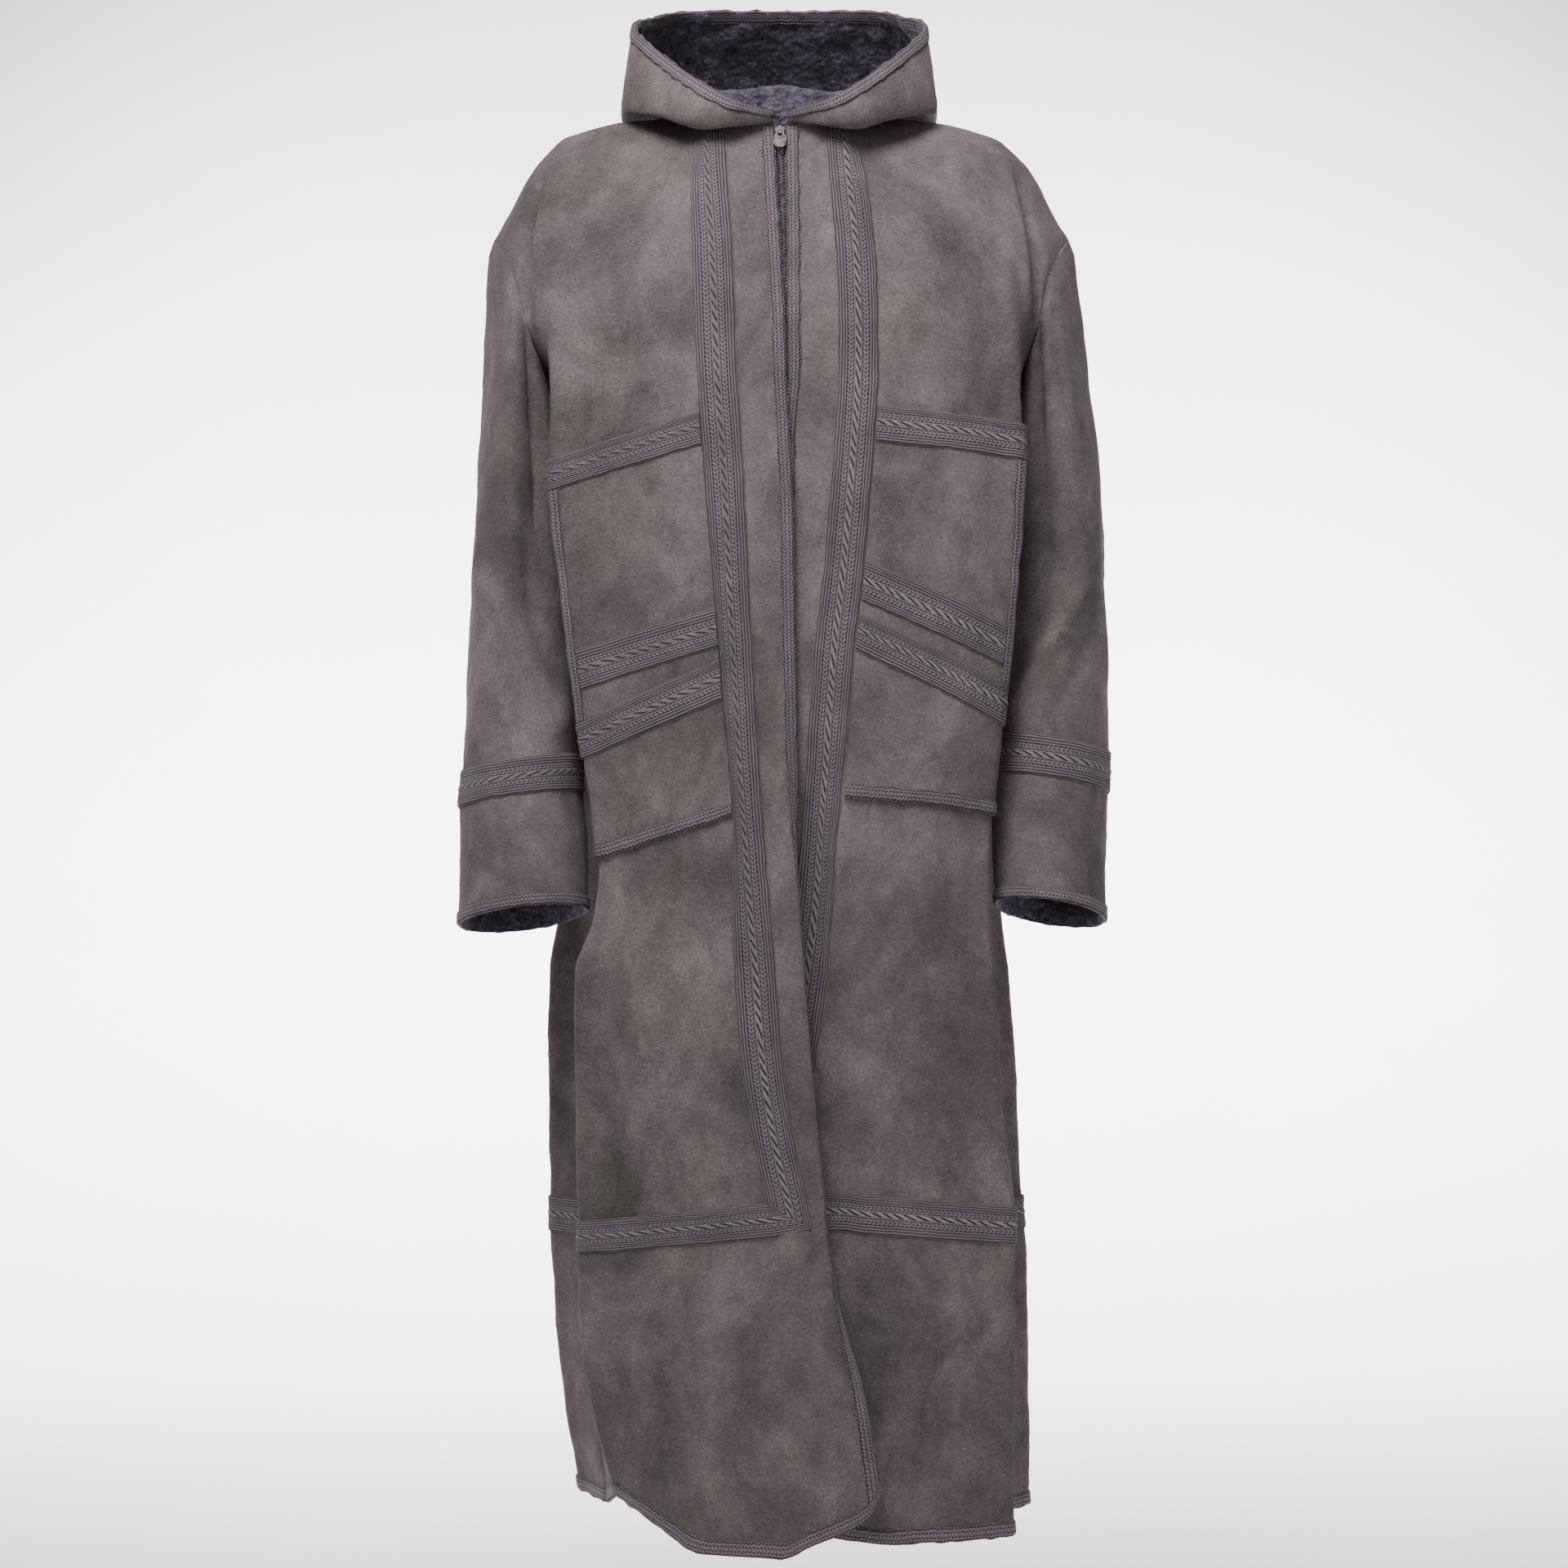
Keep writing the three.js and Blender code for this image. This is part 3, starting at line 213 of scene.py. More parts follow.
# ---- creases ----
# Each is a run of points along a soft ridge (+) or trough (-): its half width, its height at the middle,
# then the points. Panels use x and z, sleeves the angle round from the outer side (90 is the front) and z.
CREASES = {
    "front_right": [
        (9, 3.4, (-206, -62), (-210, -130), (-212, -230), (-210, -340), (-208, -420)),
        (8, 5.0, (-222, -60), (-226, -110), (-228, -160), (-228, -200)),
        (7, -15.0, (-231, -52), (-237, -100), (-240, -150), (-241, -200)),
        (8, -4.0, (-218, -200), (-220, -250), (-218, -300)),
        (26, 5.0, (-41, -640), (-50, -760), (-56, -840), (-62, -915), (-66, -990), (-72, -1100),
         (-80, -1190)),
        (20, -3.5, (-92, -700), (-96, -820), (-100, -940), (-104, -1060)),
        (24, 3.0, (-135, -730), (-140, -860), (-142, -990), (-138, -1120), (-126, -1230)),
        (18, -2.5, (-20, -1080), (-24, -1180), (-20, -1290)),
        (22, 3.0, (32, -1090), (26, -1190), (16, -1290)),
        (30, -3.0, (-176, -110), (-186, -190), (-194, -270), (-196, -350)),
        (24, 2.6, (-150, -70), (-168, -150), (-178, -250)),
        (30, 2.2, (-120, -60), (-128, -140), (-124, -230)),
        (34, -2.0, (-104, -130), (-112, -210), (-100, -270)),
        (16, 1.8, (-28, -200), (-26, -320), (-20, -440), (-12, -560)),
        (34, 2.0, (-150, -400), (-132, -460), (-108, -480)),
        (20, -2.0, (-165, -590), (-130, -610), (-95, -600)),
    ],
    "front_left": [
        (15, -8.0, (26, -660), (33, -760), (43, -850), (56, -1000), (68, -1090), (90, -1200), (97, -1280)),
        (9, 3.4, (212, -56), (216, -130), (220, -230), (222, -340), (220, -420)),
        (8, 4.0, (220, -56), (227, -100), (232, -150), (233, -196)),
        (7, -12.0, (229, -50), (237, -90), (243, -140), (244, -200)),
        (8, -3.0, (232, -200), (233, -240), (230, -290)),
        (24, 4.0, (62, -650), (74, -770), (82, -880), (84, -990), (80, -1100)),
        (20, -3.5, (98, -680), (112, -790), (118, -900), (116, -1000)),
        (24, 3.0, (138, -660), (148, -780), (150, -900), (146, -1010)),
        (20, -2.6, (172, -700), (180, -820), (182, -950), (178, -1060)),
        (22, 2.6, (60, -1080), (66, -1200), (70, -1320)),
        (22, -2.6, (112, -1080), (120, -1200), (126, -1320)),
        (24, 2.6, (160, -1090), (168, -1200), (174, -1320)),
        (30, -3.0, (186, -110), (196, -190), (204, -270), (206, -350)),
        (24, 2.6, (158, -70), (176, -150), (188, -250)),
        (30, 2.2, (124, -60), (132, -140), (128, -230)),
        (34, -2.0, (108, -140), (118, -210), (108, -265)),
        (30, 2.2, (150, -390), (140, -440), (110, -450)),
    ],
    "back": [
        (30, 7.5, (-30, -330), (-36, -520), (-42, -740), (-50, -960), (-54, -1180), (-58, -1340)),
        (24, -7.0, (18, -380), (14, -600), (12, -820), (14, -1060), (18, -1330)),
        (28, 7.5, (62, -300), (68, -520), (74, -780), (82, -1020), (88, -1300)),
        (22, -6.5, (116, -420), (126, -640), (134, -880), (142, -1160), (146, -1330)),
        (22, -6.5, (-92, -400), (-100, -620), (-108, -840), (-114, -1080), (-112, -1330)),
        (24, 5.6, (-150, -460), (-158, -700), (-164, -940), (-160, -1200)),
        (22, 5.0, (178, -500), (184, -760), (190, -1000), (196, -1260)),
        (30, -4.2, (-150, -110), (-166, -190), (-176, -290)),
        (30, -4.2, (156, -110), (172, -190), (182, -290)),
        (40, 2.4, (-60, -150), (0, -180), (62, -152)),
    ],
    "sleeve_right": [
        (12, 9.0, (56, -448), (74, -476), (94, -506), (118, -545), (150, -592)),
        (30, -17.0, (98, -270), (102, -350), (106, -430), (118, -485), (140, -545)),
        (14, -5.0, (54, -500), (72, -545), (92, -580), (110, -600)),
        (15, 4.0, (150, -540), (135, -575), (120, -592)),
        (20, 3.0, (30, -380), (42, -450), (50, -520)),
        (22, -2.6, (64, -330), (80, -410), (98, -470)),
        (14, -14.0, (86, -176), (98, -215), (112, -250), (118, -320), (122, -390), (134, -450)),
        (22, 5.0, (58, -140), (68, -200), (76, -270), (82, -350), (84, -430)),
        (20, 3.0, (-150, -470), (-120, -520), (-90, -560)),
        (18, -3.6, (-160, -500), (-130, -545), (-104, -580)),
        (20, 2.4, (-40, -360), (-50, -450), (-60, -540)),
        (18, -2.4, (-84, -180), (-96, -260), (-112, -330)),
        (24, -1.8, (40, -660), (52, -700), (60, -740)),
    ],
    "sleeve_left": [
        (12, 8.0, (56, -448), (76, -474), (98, -505), (122, -538), (150, -572)),
        (28, -16.0, (98, -270), (102, -350), (108, -430), (120, -478), (142, -528)),
        (14, -4.5, (50, -490), (68, -530), (90, -565), (112, -590)),
        (15, 2.6, (156, -530), (140, -560), (120, -580)),
        (20, -3.0, (60, -300), (70, -370), (86, -430), (100, -480)),
        (20, 3.0, (34, -330), (44, -420), (52, -500)),
        (12, -11.0, (84, -176), (94, -215), (106, -250), (112, -320), (116, -370)),
        (20, 4.0, (40, -140), (48, -200), (56, -270), (62, -340)),
        (20, 3.0, (-150, -460), (-118, -505), (-86, -545)),
        (18, -3.6, (-160, -495), (-132, -538), (-104, -575)),
        (20, 2.4, (-36, -360), (-48, -450), (-60, -540)),
        (18, -2.4, (-84, -180), (-96, -260), (-112, -330)),
        (24, -1.8, (44, -650), (54, -690), (62, -735)),
        (30, 6.0, (160, -610), (168, -650), (168, -700), (160, -735)),
    ],
}
SLEEVE_RADIUS = 62.0
SEAM_DIP = 2.0
SLEEVE_HEAD = 2.4
NECK_HALF_WIDTH = 96.0
NECK_BLEND = 30.0
# Rounded lumps of the hood's roll beside the neck: row, column and height on the fur's side.
HOOD_LUMPS = [(2.5, 4.9, 9.0), (5.6, 5.6, 5.0)]

# ---- reading the tables ----
ROW = {name: k for k, name in enumerate(RIGHT_LEVELS)}
LAST_ROW = len(ROW) - 1
COLUMN = {"edge": 0, "narrow": 1, "braid_in": 2, "braid_middle": 3, "braid_out": 4, "pocket": 5,
          "mouth": 8, "fold": 9, "side": 12}
TOP_TO_FOLD = 4
FOLD_TO_SIDE = 3
MIDDLE_TO_BLADE = 3
BACK_MIDDLE = 10
NECK_STEP = 36.0


def read_curve(keys, values, at):
    """A smooth curve through values, read at one position of its keys."""
    last = len(keys) - 1
    down = -1 if keys[-1] < keys[0] else 1
    t = down * min(max(down * at, down * keys[0]), down * keys[-1])
    k = 0
    while k < last - 1 and down * t > down * keys[k + 1]:
        k += 1

    def slope(i):
        a, b = max(i - 1, 0), min(i + 1, last)
        return (values[b] - values[a]) / (keys[b] - keys[a])

    step = keys[k + 1] - keys[k]
    s = (t - keys[k]) / step
    return ((2 * s**3 - 3 * s**2 + 1) * values[k] + (s**3 - 2 * s**2 + s) * step * slope(k)
            + (3 * s**2 - 2 * s**3) * values[k + 1] + (s**3 - s**2) * step * slope(k + 1))


def on_line(line, z):
    table = np.array([r[:3] for r in line], float)
    x, y = read_curve(table[:, 0], table[:, 1:], z)
    return np.array([x, y, z])


def between(points, keys, at):
    return read_curve(keys, np.asarray(points, float), at)


def tuck(r):
    return min(max((r - ROW["chest"]) / (ROW["underarm"] - ROW["chest"]), 0), 1)


def front_row(panel, level, sign, r):
    narrow = on_line(panel["edge"], level[EDGE])
    turn = math.radians(read_curve([q[0] for q in panel["edge"]], [q[3] for q in panel["edge"]], level[EDGE]))
    braid, pocket, fold, side = (on_line(panel[name], level[k]) for name, k in
                                 (("braid", BRAID), ("pocket", POCKET), ("fold", FOLD), ("side", SIDE)))
    edge = narrow + NARROW_BRAID * np.array([-sign * math.cos(turn), math.sin(turn), 0])
    edge[2] += CORNER_RISE if r >= ROW["hem_top"] else 0
    stations, keys = [narrow, braid, pocket, fold, side], [0, 1, 2, 3, 4]

    def way(a, b, share):
        return between(stations, keys, a + (b - a) * share)

    half = 0.5 * WIDE_BRAID
    inner, outer = np.linalg.norm(narrow - braid), np.linalg.norm(pocket - braid)
    braid_in = braid + (narrow - braid) * min(half / inner, 0.9)
    braid_out = braid + (pocket - braid) * min(half, outer - POCKET_STEP) / outer
    points = [edge, narrow, braid_in, braid, braid_out, pocket]
    mouth = 1 - NARROW_BRAID / np.linalg.norm(pocket - fold)
    points += [way(2, 3, mouth * k / (TOP_TO_FOLD - 1)) for k in range(1, TOP_TO_FOLD)]
    points.append(fold)
    for k in range(1, FOLD_TO_SIDE):
        share = k / FOLD_TO_SIDE
        straight = fold + (side - fold) * share
        points.append(way(3, 4, share) * (1 - tuck(r)) + straight * tuck(r))
    return points + [side]


def back_half_row(blade_line, fold_line, level, front, r):
    if r == 0:
        middle, blade = on_line(BACK["middle"], level[MIDDLE]), front[COLUMN["pocket"]]
        out = [middle]
        for k in range(1, MIDDLE_TO_BLADE):
            share = k / MIDDLE_TO_BLADE
            angle = share * math.pi / 2
            out.append(np.array([blade[0] * math.sin(angle), middle[1] * math.cos(angle),
                                 middle[2] + (blade[2] - middle[2]) * share]))
        return out + list(front[COLUMN["pocket"]:])
    side = front[COLUMN["side"]].copy()
    arm = r < ROW["underarm"]
    if arm:
        side[1] = -side[1]

    def height(share):
        return level[MIDDLE] + (level[SIDE] - level[MIDDLE]) * share

    middle = on_line(BACK["middle"], height(0))
    blade = on_line(blade_line, height(0.15 if arm else 0.45))
    fold = on_line(fold_line, height(0.5 if arm else 0.9))
    stations, keys = [blade * (-1, 1, 1), middle, blade, fold, side], [-1, 0, 1, 2, 3]
    out = [between(stations, keys, k / MIDDLE_TO_BLADE) for k in range(MIDDLE_TO_BLADE)]
    out += [between(stations, keys, 1 + k / TOP_TO_FOLD) for k in range(TOP_TO_FOLD)]
    for k in range(FOLD_TO_SIDE):
        share = k / FOLD_TO_SIDE
        straight = fold + (side - fold) * share
        out.append(between(stations, keys, 2 + share) * (1 - tuck(r)) + straight * tuck(r))
    return out + [side]


def sleeve_rows(front, back_side, table, sign):
    under = ROW["underarm"]
    loop = [front[r, -1] for r in range(under)] + [back_side[r] for r in range(under, 0, -1)]
    rings = []
    for z, x, y, half_x, half_y, inner, forward in table:
        ring = []
        for k in range(len(loop)):
            angle = 2 * math.pi * k / len(loop)
            c, s = math.cos(angle), math.sin(angle)
            ring.append(np.array([x + sign * half_x * c, y - half_y * s, z - inner * c + forward * s]))
        rings.append(ring)
    blend = [[p + (q - p) * share for p, q in zip(loop, rings[0])] for share in ARMHOLE_BLEND]
    return np.array([ring + [ring[0]] for ring in [loop] + blend + rings])


def hood_rows(front_top, back_top, sign):
    seam = list(front_top[:COLUMN["pocket"]]) + list(back_top)
    keys = [section[0] for section in HOOD_SECTIONS]
    columns = []
    for column, start in enumerate(seam):
        points = [start]
        for k in range(1, len(HOOD_SECTIONS[0])):
            line = np.array([section[k] for section in HOOD_SECTIONS], float) * (-sign, 1, 1)
            points.append(between(line, keys, column))
        last = len(points) - 1
        braid_top = last - min(NARROW_BRAID / np.linalg.norm(points[-1] - points[-2]), 0.9)
        at = [braid_top * k / (HOOD_ROWS - 1) for k in range(HOOD_ROWS)] + [last]
        columns.append([between(points, list(range(last + 1)), a) for a in at])
    return np.array(columns).transpose(1, 0, 2)


# ---- nets: a panel's grid of points with smooth reading between them ----
class Net:
    """Rows and columns of points over a panel, read smoothly at any place between them."""

    def __init__(self, points, flip, row_keys=None, column_keys=None, ring=False):
        self.points = np.asarray(points, float)
        self.flip = flip
        self.row_keys = self.spaced(0) if row_keys is None else np.asarray(row_keys, float)
        self.column_keys = self.spaced(1) if column_keys is None else np.asarray(column_keys, float)
        self.ring = ring
        self.normals = None

    def spaced(self, axis):
        steps = np.linalg.norm(np.diff(self.points, axis=axis), axis=2).mean(axis=1 - axis)
        return np.concatenate([[0], np.cumsum(np.maximum(steps, 1))])

    @staticmethod
    def weights(keys, at, ring=False):
        """Weights of each key at places counted in keys: 2.5 is halfway from key 2 to key 3."""
        at = np.clip(np.asarray(at, float), 0, len(keys) - 1)
        k = np.minimum(at.astype(int), len(keys) - 2)
        s = at - k
        out = np.zeros((len(at), len(keys)))
        i = np.arange(len(at))
        step = keys[k + 1] - keys[k]
        out[i, k] += 2 * s**3 - 3 * s**2 + 1
        out[i, k + 1] += 3 * s**2 - 2 * s**3
        for knot, h in ((k, (s**3 - 2 * s**2 + s) * step), (k + 1, (s**3 - s**2) * step)):
            below, above = np.maximum(knot - 1, 0), np.minimum(knot + 1, len(keys) - 1)
            span = keys[above] - keys[below]
            if ring:
                end = (knot == 0) | (knot == len(keys) - 1)
                below, above = np.where(end, len(keys) - 2, below), np.where(end, 1, above)
                span = np.where(end, keys[1] - keys[0] + keys[-1] - keys[-2], span)
            np.add.at(out, (i, above), h / span)
            np.add.at(out, (i, below), -h / span)
        return out

    def read(self, v, u, values=None):
        """Points at rows v and columns u, which have one shape."""
        v, u = np.broadcast_arrays(v, u)
        values = self.points if values is None else values
        wr = self.weights(self.row_keys, v.ravel())
        wc = self.weights(self.column_keys, u.ravel(), self.ring)
        out = np.zeros((v.size, 3))
        for axis in range(3):
            out[:, axis] = ((wr @ values[:, :, axis]) * wc).sum(axis=1)
        return out.reshape(v.shape + (3,))

    def face_normals(self):
        p = self.points
        a, b = p[1:, :-1] - p[:-1, 1:], p[1:, 1:] - p[:-1, :-1]
        cross = np.cross(a, b)
        return -cross if self.flip else cross


def merge_normals(nets):
    """One outward direction for each point, shared by all the nets that meet there."""
    sums = {}
    for net in nets:
        cross = net.face_normals()
        for dr in (0, 1):
            for dc in (0, 1):
                for r in range(cross.shape[0]):
                    for c in range(cross.shape[1]):
                        key = tuple(np.round(net.points[r + dr, c + dc], 2) + 0.0)
                        sums[key] = sums.get(key, 0) + cross[r, c]
    for net in nets:
        rows, columns = net.points.shape[:2]
        net.normals = np.zeros_like(net.points)
        for r in range(rows):
            for c in range(columns):
                n = sums[tuple(np.round(net.points[r, c], 2) + 0.0)]
                net.normals[r, c] = n / np.linalg.norm(n)


def build_nets():
    right = np.array([front_row(RIGHT_FRONT, level, -1, r) for r, level in enumerate(RIGHT_LEVELS.values())])
    left = np.array([front_row(LEFT_FRONT, level, 1, r) for r, level in enumerate(LEFT_LEVELS.values())])
    back = []
    for r, name in enumerate(ROW):
        r_half = back_half_row(BACK["right_blade"], BACK["right_fold"], RIGHT_LEVELS[name], right[r], r)
        l_half = back_half_row(BACK["left_blade"], BACK["left_fold"], LEFT_LEVELS[name], left[r], r)
        back.append(r_half[::-1] + l_half[1:])
    back = np.array(back)
    sleeve_right = sleeve_rows(right, back[:, 0], RIGHT_SLEEVE, -1)
    sleeve_left = sleeve_rows(left, back[:, -1], LEFT_SLEEVE, 1)
    neck = back[0, TOP_TO_FOLD + FOLD_TO_SIDE:BACK_MIDDLE + 1]
    hood_right = hood_rows(right[0], neck, -1)
    hood_left = hood_rows(left[0], back[0, BACK_MIDDLE:BACK_MIDDLE + MIDDLE_TO_BLADE + 1][::-1], 1)
    row_keys = -np.array([level[SIDE] for level in RIGHT_LEVELS.values()], float)
    front_keys = Net(right, True).column_keys
    half = front_keys[COLUMN["pocket"]:] - front_keys[COLUMN["pocket"]]
    blade = np.arange(MIDDLE_TO_BLADE) * NECK_STEP
    half = np.concatenate([blade, NECK_STEP * MIDDLE_TO_BLADE + half])
    back_keys = np.concatenate([-half[::-1], half[1:]])
    armhole = row_keys[:ROW["underarm"] + 1] - row_keys[0]
    armhole = np.concatenate([armhole, 2 * armhole[-1] - armhole[-2::-1]])
    neck_keys = np.concatenate([front_keys[:COLUMN["pocket"]],
                                front_keys[COLUMN["pocket"]] + np.arange(MIDDLE_TO_BLADE + 1) * NECK_STEP])
    nets = {
        "front_right": Net(right, True, row_keys, front_keys),
        "front_left": Net(left, False, row_keys, front_keys),
        "back": Net(back, True, row_keys, back_keys),
        "sleeve_right": Net(sleeve_right, False, None, armhole, ring=True),
        "sleeve_left": Net(sleeve_left, True, None, armhole, ring=True),
        "hood_right": Net(hood_right, False, None, neck_keys),
        "hood_left": Net(hood_left, True, None, neck_keys),
    }
    merge_normals(nets.values())
    return nets


# ---- folds and unevenness ----
# Unevenness of the cloth: height, stretch along x, y and z, size of the hollows, number of waves, seed.
UNEVENNESS = [(1.3, (1, 1, 0.55), 150, 9, 3), (0.6, (1, 1, 1), 60, 9, 4), (0.22, (1, 1, 1), 22, 10, 6)]


def waves(points, size, count, seed):
    """A smooth unevenness between about -1 and 1, with hollows about `size` millimetres apart."""
    rng = np.random.default_rng(seed)
    total = np.zeros(points.shape[:-1])
    for _ in range(count):
        direction = rng.normal(size=3)
        direction *= (2 * math.pi / size) * rng.uniform(0.6, 1.5) / np.linalg.norm(direction)
        total += np.sin(points @ direction + rng.uniform(0, 2 * math.pi))
    return total / math.sqrt(count)


def crease_height(creases, a, b):
    """The summed ridges and troughs at places (a, b) of a panel's own two directions."""
    place = np.stack([a, b], axis=-1)
    total = np.zeros(a.shape)
    for half_width, height, *run in creases:
        run = np.array(run, float)
        steps = np.linalg.norm(np.diff(run, axis=0), axis=1)
        length = steps.sum()
        nearest = np.full(a.shape, 1e9)
        along = np.zeros(a.shape)
        for k, step in enumerate(steps):
            way = (run[k + 1] - run[k]) / step
            t = np.clip((place - run[k]) @ way, 0, step)
            away = np.linalg.norm(place - run[k] - t[..., None] * way, axis=-1)
            closer = away < nearest
            nearest = np.where(closer, away, nearest)
            along = np.where(closer, (steps[:k].sum() + t) / length, along)
        taper = np.sin(math.pi * np.clip(0.08 + 0.84 * along, 0, 1)) ** 0.7
        total += height * taper * np.exp(-((nearest / (0.75 * half_width)) ** 2))
    return total


def smooth_step(x):
    x = np.clip(x, 0, 1)
    return x * x * (3 - 2 * x)


def relief(name, net, v, u, p):
    """How far the cloth stands out of the panel's plain form at rows v and columns u."""
    out = sum(height * waves(p * stretch, size, count, seed)
              for height, stretch, size, count, seed in UNEVENNESS)
    if name in CREASES:
        if name.startswith("sleeve"):
            angle = 2 * math.pi * u / (net.points.shape[1] - 1)
            angle = (angle + math.pi) % (2 * math.pi) - math.pi
            total = 0
            for turn in (-1, 0, 1):
                creases = [(w, h, *((math.radians(q[0]) * SLEEVE_RADIUS, q[1]) for q in run))
                           for w, h, *run in CREASES[name]]
                around = (angle + turn * 2 * math.pi) * SLEEVE_RADIUS
                total = total + crease_height(creases, around, p[..., 2])
            fade = smooth_step(v / 0.35)
            seam = v / 0.12
            out = out + SLEEVE_HEAD * fade * np.exp(-v / 1.2)
        else:
            total = crease_height(CREASES[name], p[..., 0], p[..., 2])
            columns = net.points.shape[1] - 1
            side = (columns - u) if name.startswith("front") else np.minimum(u, columns - u)
            fade = smooth_step(side / 0.7)
            seam = np.minimum(side / 0.2, v / 0.14)
        out = out + total * fade - SEAM_DIP * np.exp(-(seam ** 2))
        if not name.startswith("sleeve"):
            beside = smooth_step((np.abs(p[..., 0]) - NECK_HALF_WIDTH) / NECK_BLEND)
            out = out * (1 - (1 - smooth_step(v / 0.6)) * (1 - beside))
    if name.startswith("hood"):
        out = out * smooth_step(v / 1.5) * (0.4 + 0.6 * smooth_step((HOOD_ROWS - v) / 2))
        for row, column, deep in HOOD_LUMPS:
            out = out - deep * np.exp(-((v - row) / 0.9) ** 2 - ((u - column) / 0.55) ** 2)
    return out


def cloth_at(name, v, u):
    """Points of the outer face of a panel's cloth and its outward directions."""
    net = NETS[name]
    v, u = np.broadcast_arrays(np.asarray(v, float), np.asarray(u, float))
    p = net.read(v, u)
    n = net.read(v, u, net.normals)
    n /= np.linalg.norm(n, axis=-1, keepdims=True)
    return p + n * relief(name, net, v, u, p)[..., None], n


def stops(net, axis, first, last, cell):
    """Places from one row or column to another, about `cell` millimetres apart."""
    step = np.linalg.norm(np.diff(net.points, axis=axis), axis=2)
    step = np.quantile(step, 0.8, axis=1 - axis)
    out = []
    for k in range(first, last):
        count = max(1, int(math.ceil(step[k] / cell)))
        out += [k + i / count for i in range(count)]
    return np.array(out + [last], float)


# ---- materials ----
# Tones run from the hollows to the raised parts. The braid's tones follow its knit's height, so its hollows
# carry painted shade; its last two are a painted highlight on its rope and painted shade in its gaps.
SUEDE_TONES = ("#484042", "#62585a", "#776b6d", "#8a7c7e")
SUEDE_TINTS = ("#67625c", "#74656b")
FUR_TONES = ("#423b49", "#665d6f", "#8b8395")
BRAID_TONES = ("#40393f", "#6b6066", "#8f838a", "#b0a6ac", "#262025")
TAPE_TONES = ("#372d35", "#61525d")
# Pitches of the knit in millimetres. The real stitches, ribs and chevrons are finer, too fine to show in the
# render, so they are drawn as coarse as they need to show.
CHEVRON = 6.8
NARROW_WALE = 2.4
WIDE_VEE, NARROW_VEE = 4.2, 3.4
STITCH = 2.6
WIDE_RIB, NARROW_RIB = 2.7, 3.0
ROPE_TURN = 11.5
SMOOTH = {"interpolation_type": "SMOOTHSTEP"}
MATERIALS = {}


def linear(hex_colour):
    """An sRGB hex colour as linear RGBA."""
    parts = [int(hex_colour[k:k + 2], 16) / 255 for k in (1, 3, 5)]
    return tuple(c / 12.92 if c <= 0.04045 else ((c + 0.055) / 1.055) ** 2.4 for c in parts) + (1.0,)


class Nodes:
    """A material's node tree with short ways to add and join nodes."""

    def __init__(self, name):
        self.material = bpy.data.materials.new(name)
        self.material.use_nodes = True
        self.tree = self.material.node_tree
        self.tree.nodes.clear()
        self.output = self.add("OutputMaterial")

    def add(self, kind, settings=None, **inputs):
        """Adds a node; a tuple of (node, socket) joins an input, and any other value sets it."""
        node = self.tree.nodes.new("ShaderNode" + kind)
        for key, value in (settings or {}).items():
            setattr(node, key, value)
        for key, value in inputs.items():
            key = int(key[1:]) if key[0] == "_" and key[1:].isdigit() else key.replace("_", " ")
            if isinstance(value, tuple) and isinstance(value[0], bpy.types.Node):
                self.tree.links.new(value[0].outputs[value[1]], node.inputs[key])
            elif isinstance(value, bpy.types.Node):
                self.tree.links.new(value.outputs[0], node.inputs[key])
            else:
                node.inputs[key].default_value = value
        return node

    def math(self, operation, a, b=0.0, c=None):
        extra = {} if c is None else {"_2": c}
        return self.add("Math", {"operation": operation}, _0=a, _1=b, **extra)

    def mix(self, factor, a, b, blend="MIX"):
        node = self.add("Mix", {"data_type": "RGBA", "blend_type": blend}, _0=factor, _6=a, _7=b)
        return (node, 2)

    def ramp(self, factor, *stops_):
        node = self.add("ValToRGB", None, Fac=factor)
        elements = node.color_ramp.elements
        while len(elements) < len(stops_):
            elements.new(0.5)
        for element, (place, colour) in zip(elements, stops_):
            element.position = place
            element.color = linear(colour) if isinstance(colour, str) else (colour, colour, colour, 1)
        return node

    def noise(self, scale, detail=3.0, roughness=0.55, stretch=(1, 1, 1), seed=0.0, distortion=0.0):
        place = self.add("TexCoord")
        mapped = self.add("Mapping", None, Vector=(place, "Object"), Scale=stretch,
                          Location=(seed, 0.37 * seed, -seed))
        return self.add("TexNoise", None, Vector=mapped, Scale=scale, Detail=detail, Roughness=roughness,
                        Distortion=distortion)

    def finish(self, colour, roughness, height=None, depth=0.0005, **constants):
        shader = self.add("BsdfPrincipled", None, Base_Color=colour, Roughness=roughness)
        for key, value in constants.items():
            shader.inputs[key.replace("_", " ")].default_value = value
        if height is not None:
            bump = self.add("Bump", None, Height=height, Distance=depth, Strength=1.0)
            self.tree.links.new(bump.outputs[0], shader.inputs["Normal"])
        self.tree.links.new(shader.outputs[0], self.output.inputs["Surface"])
        return self.material


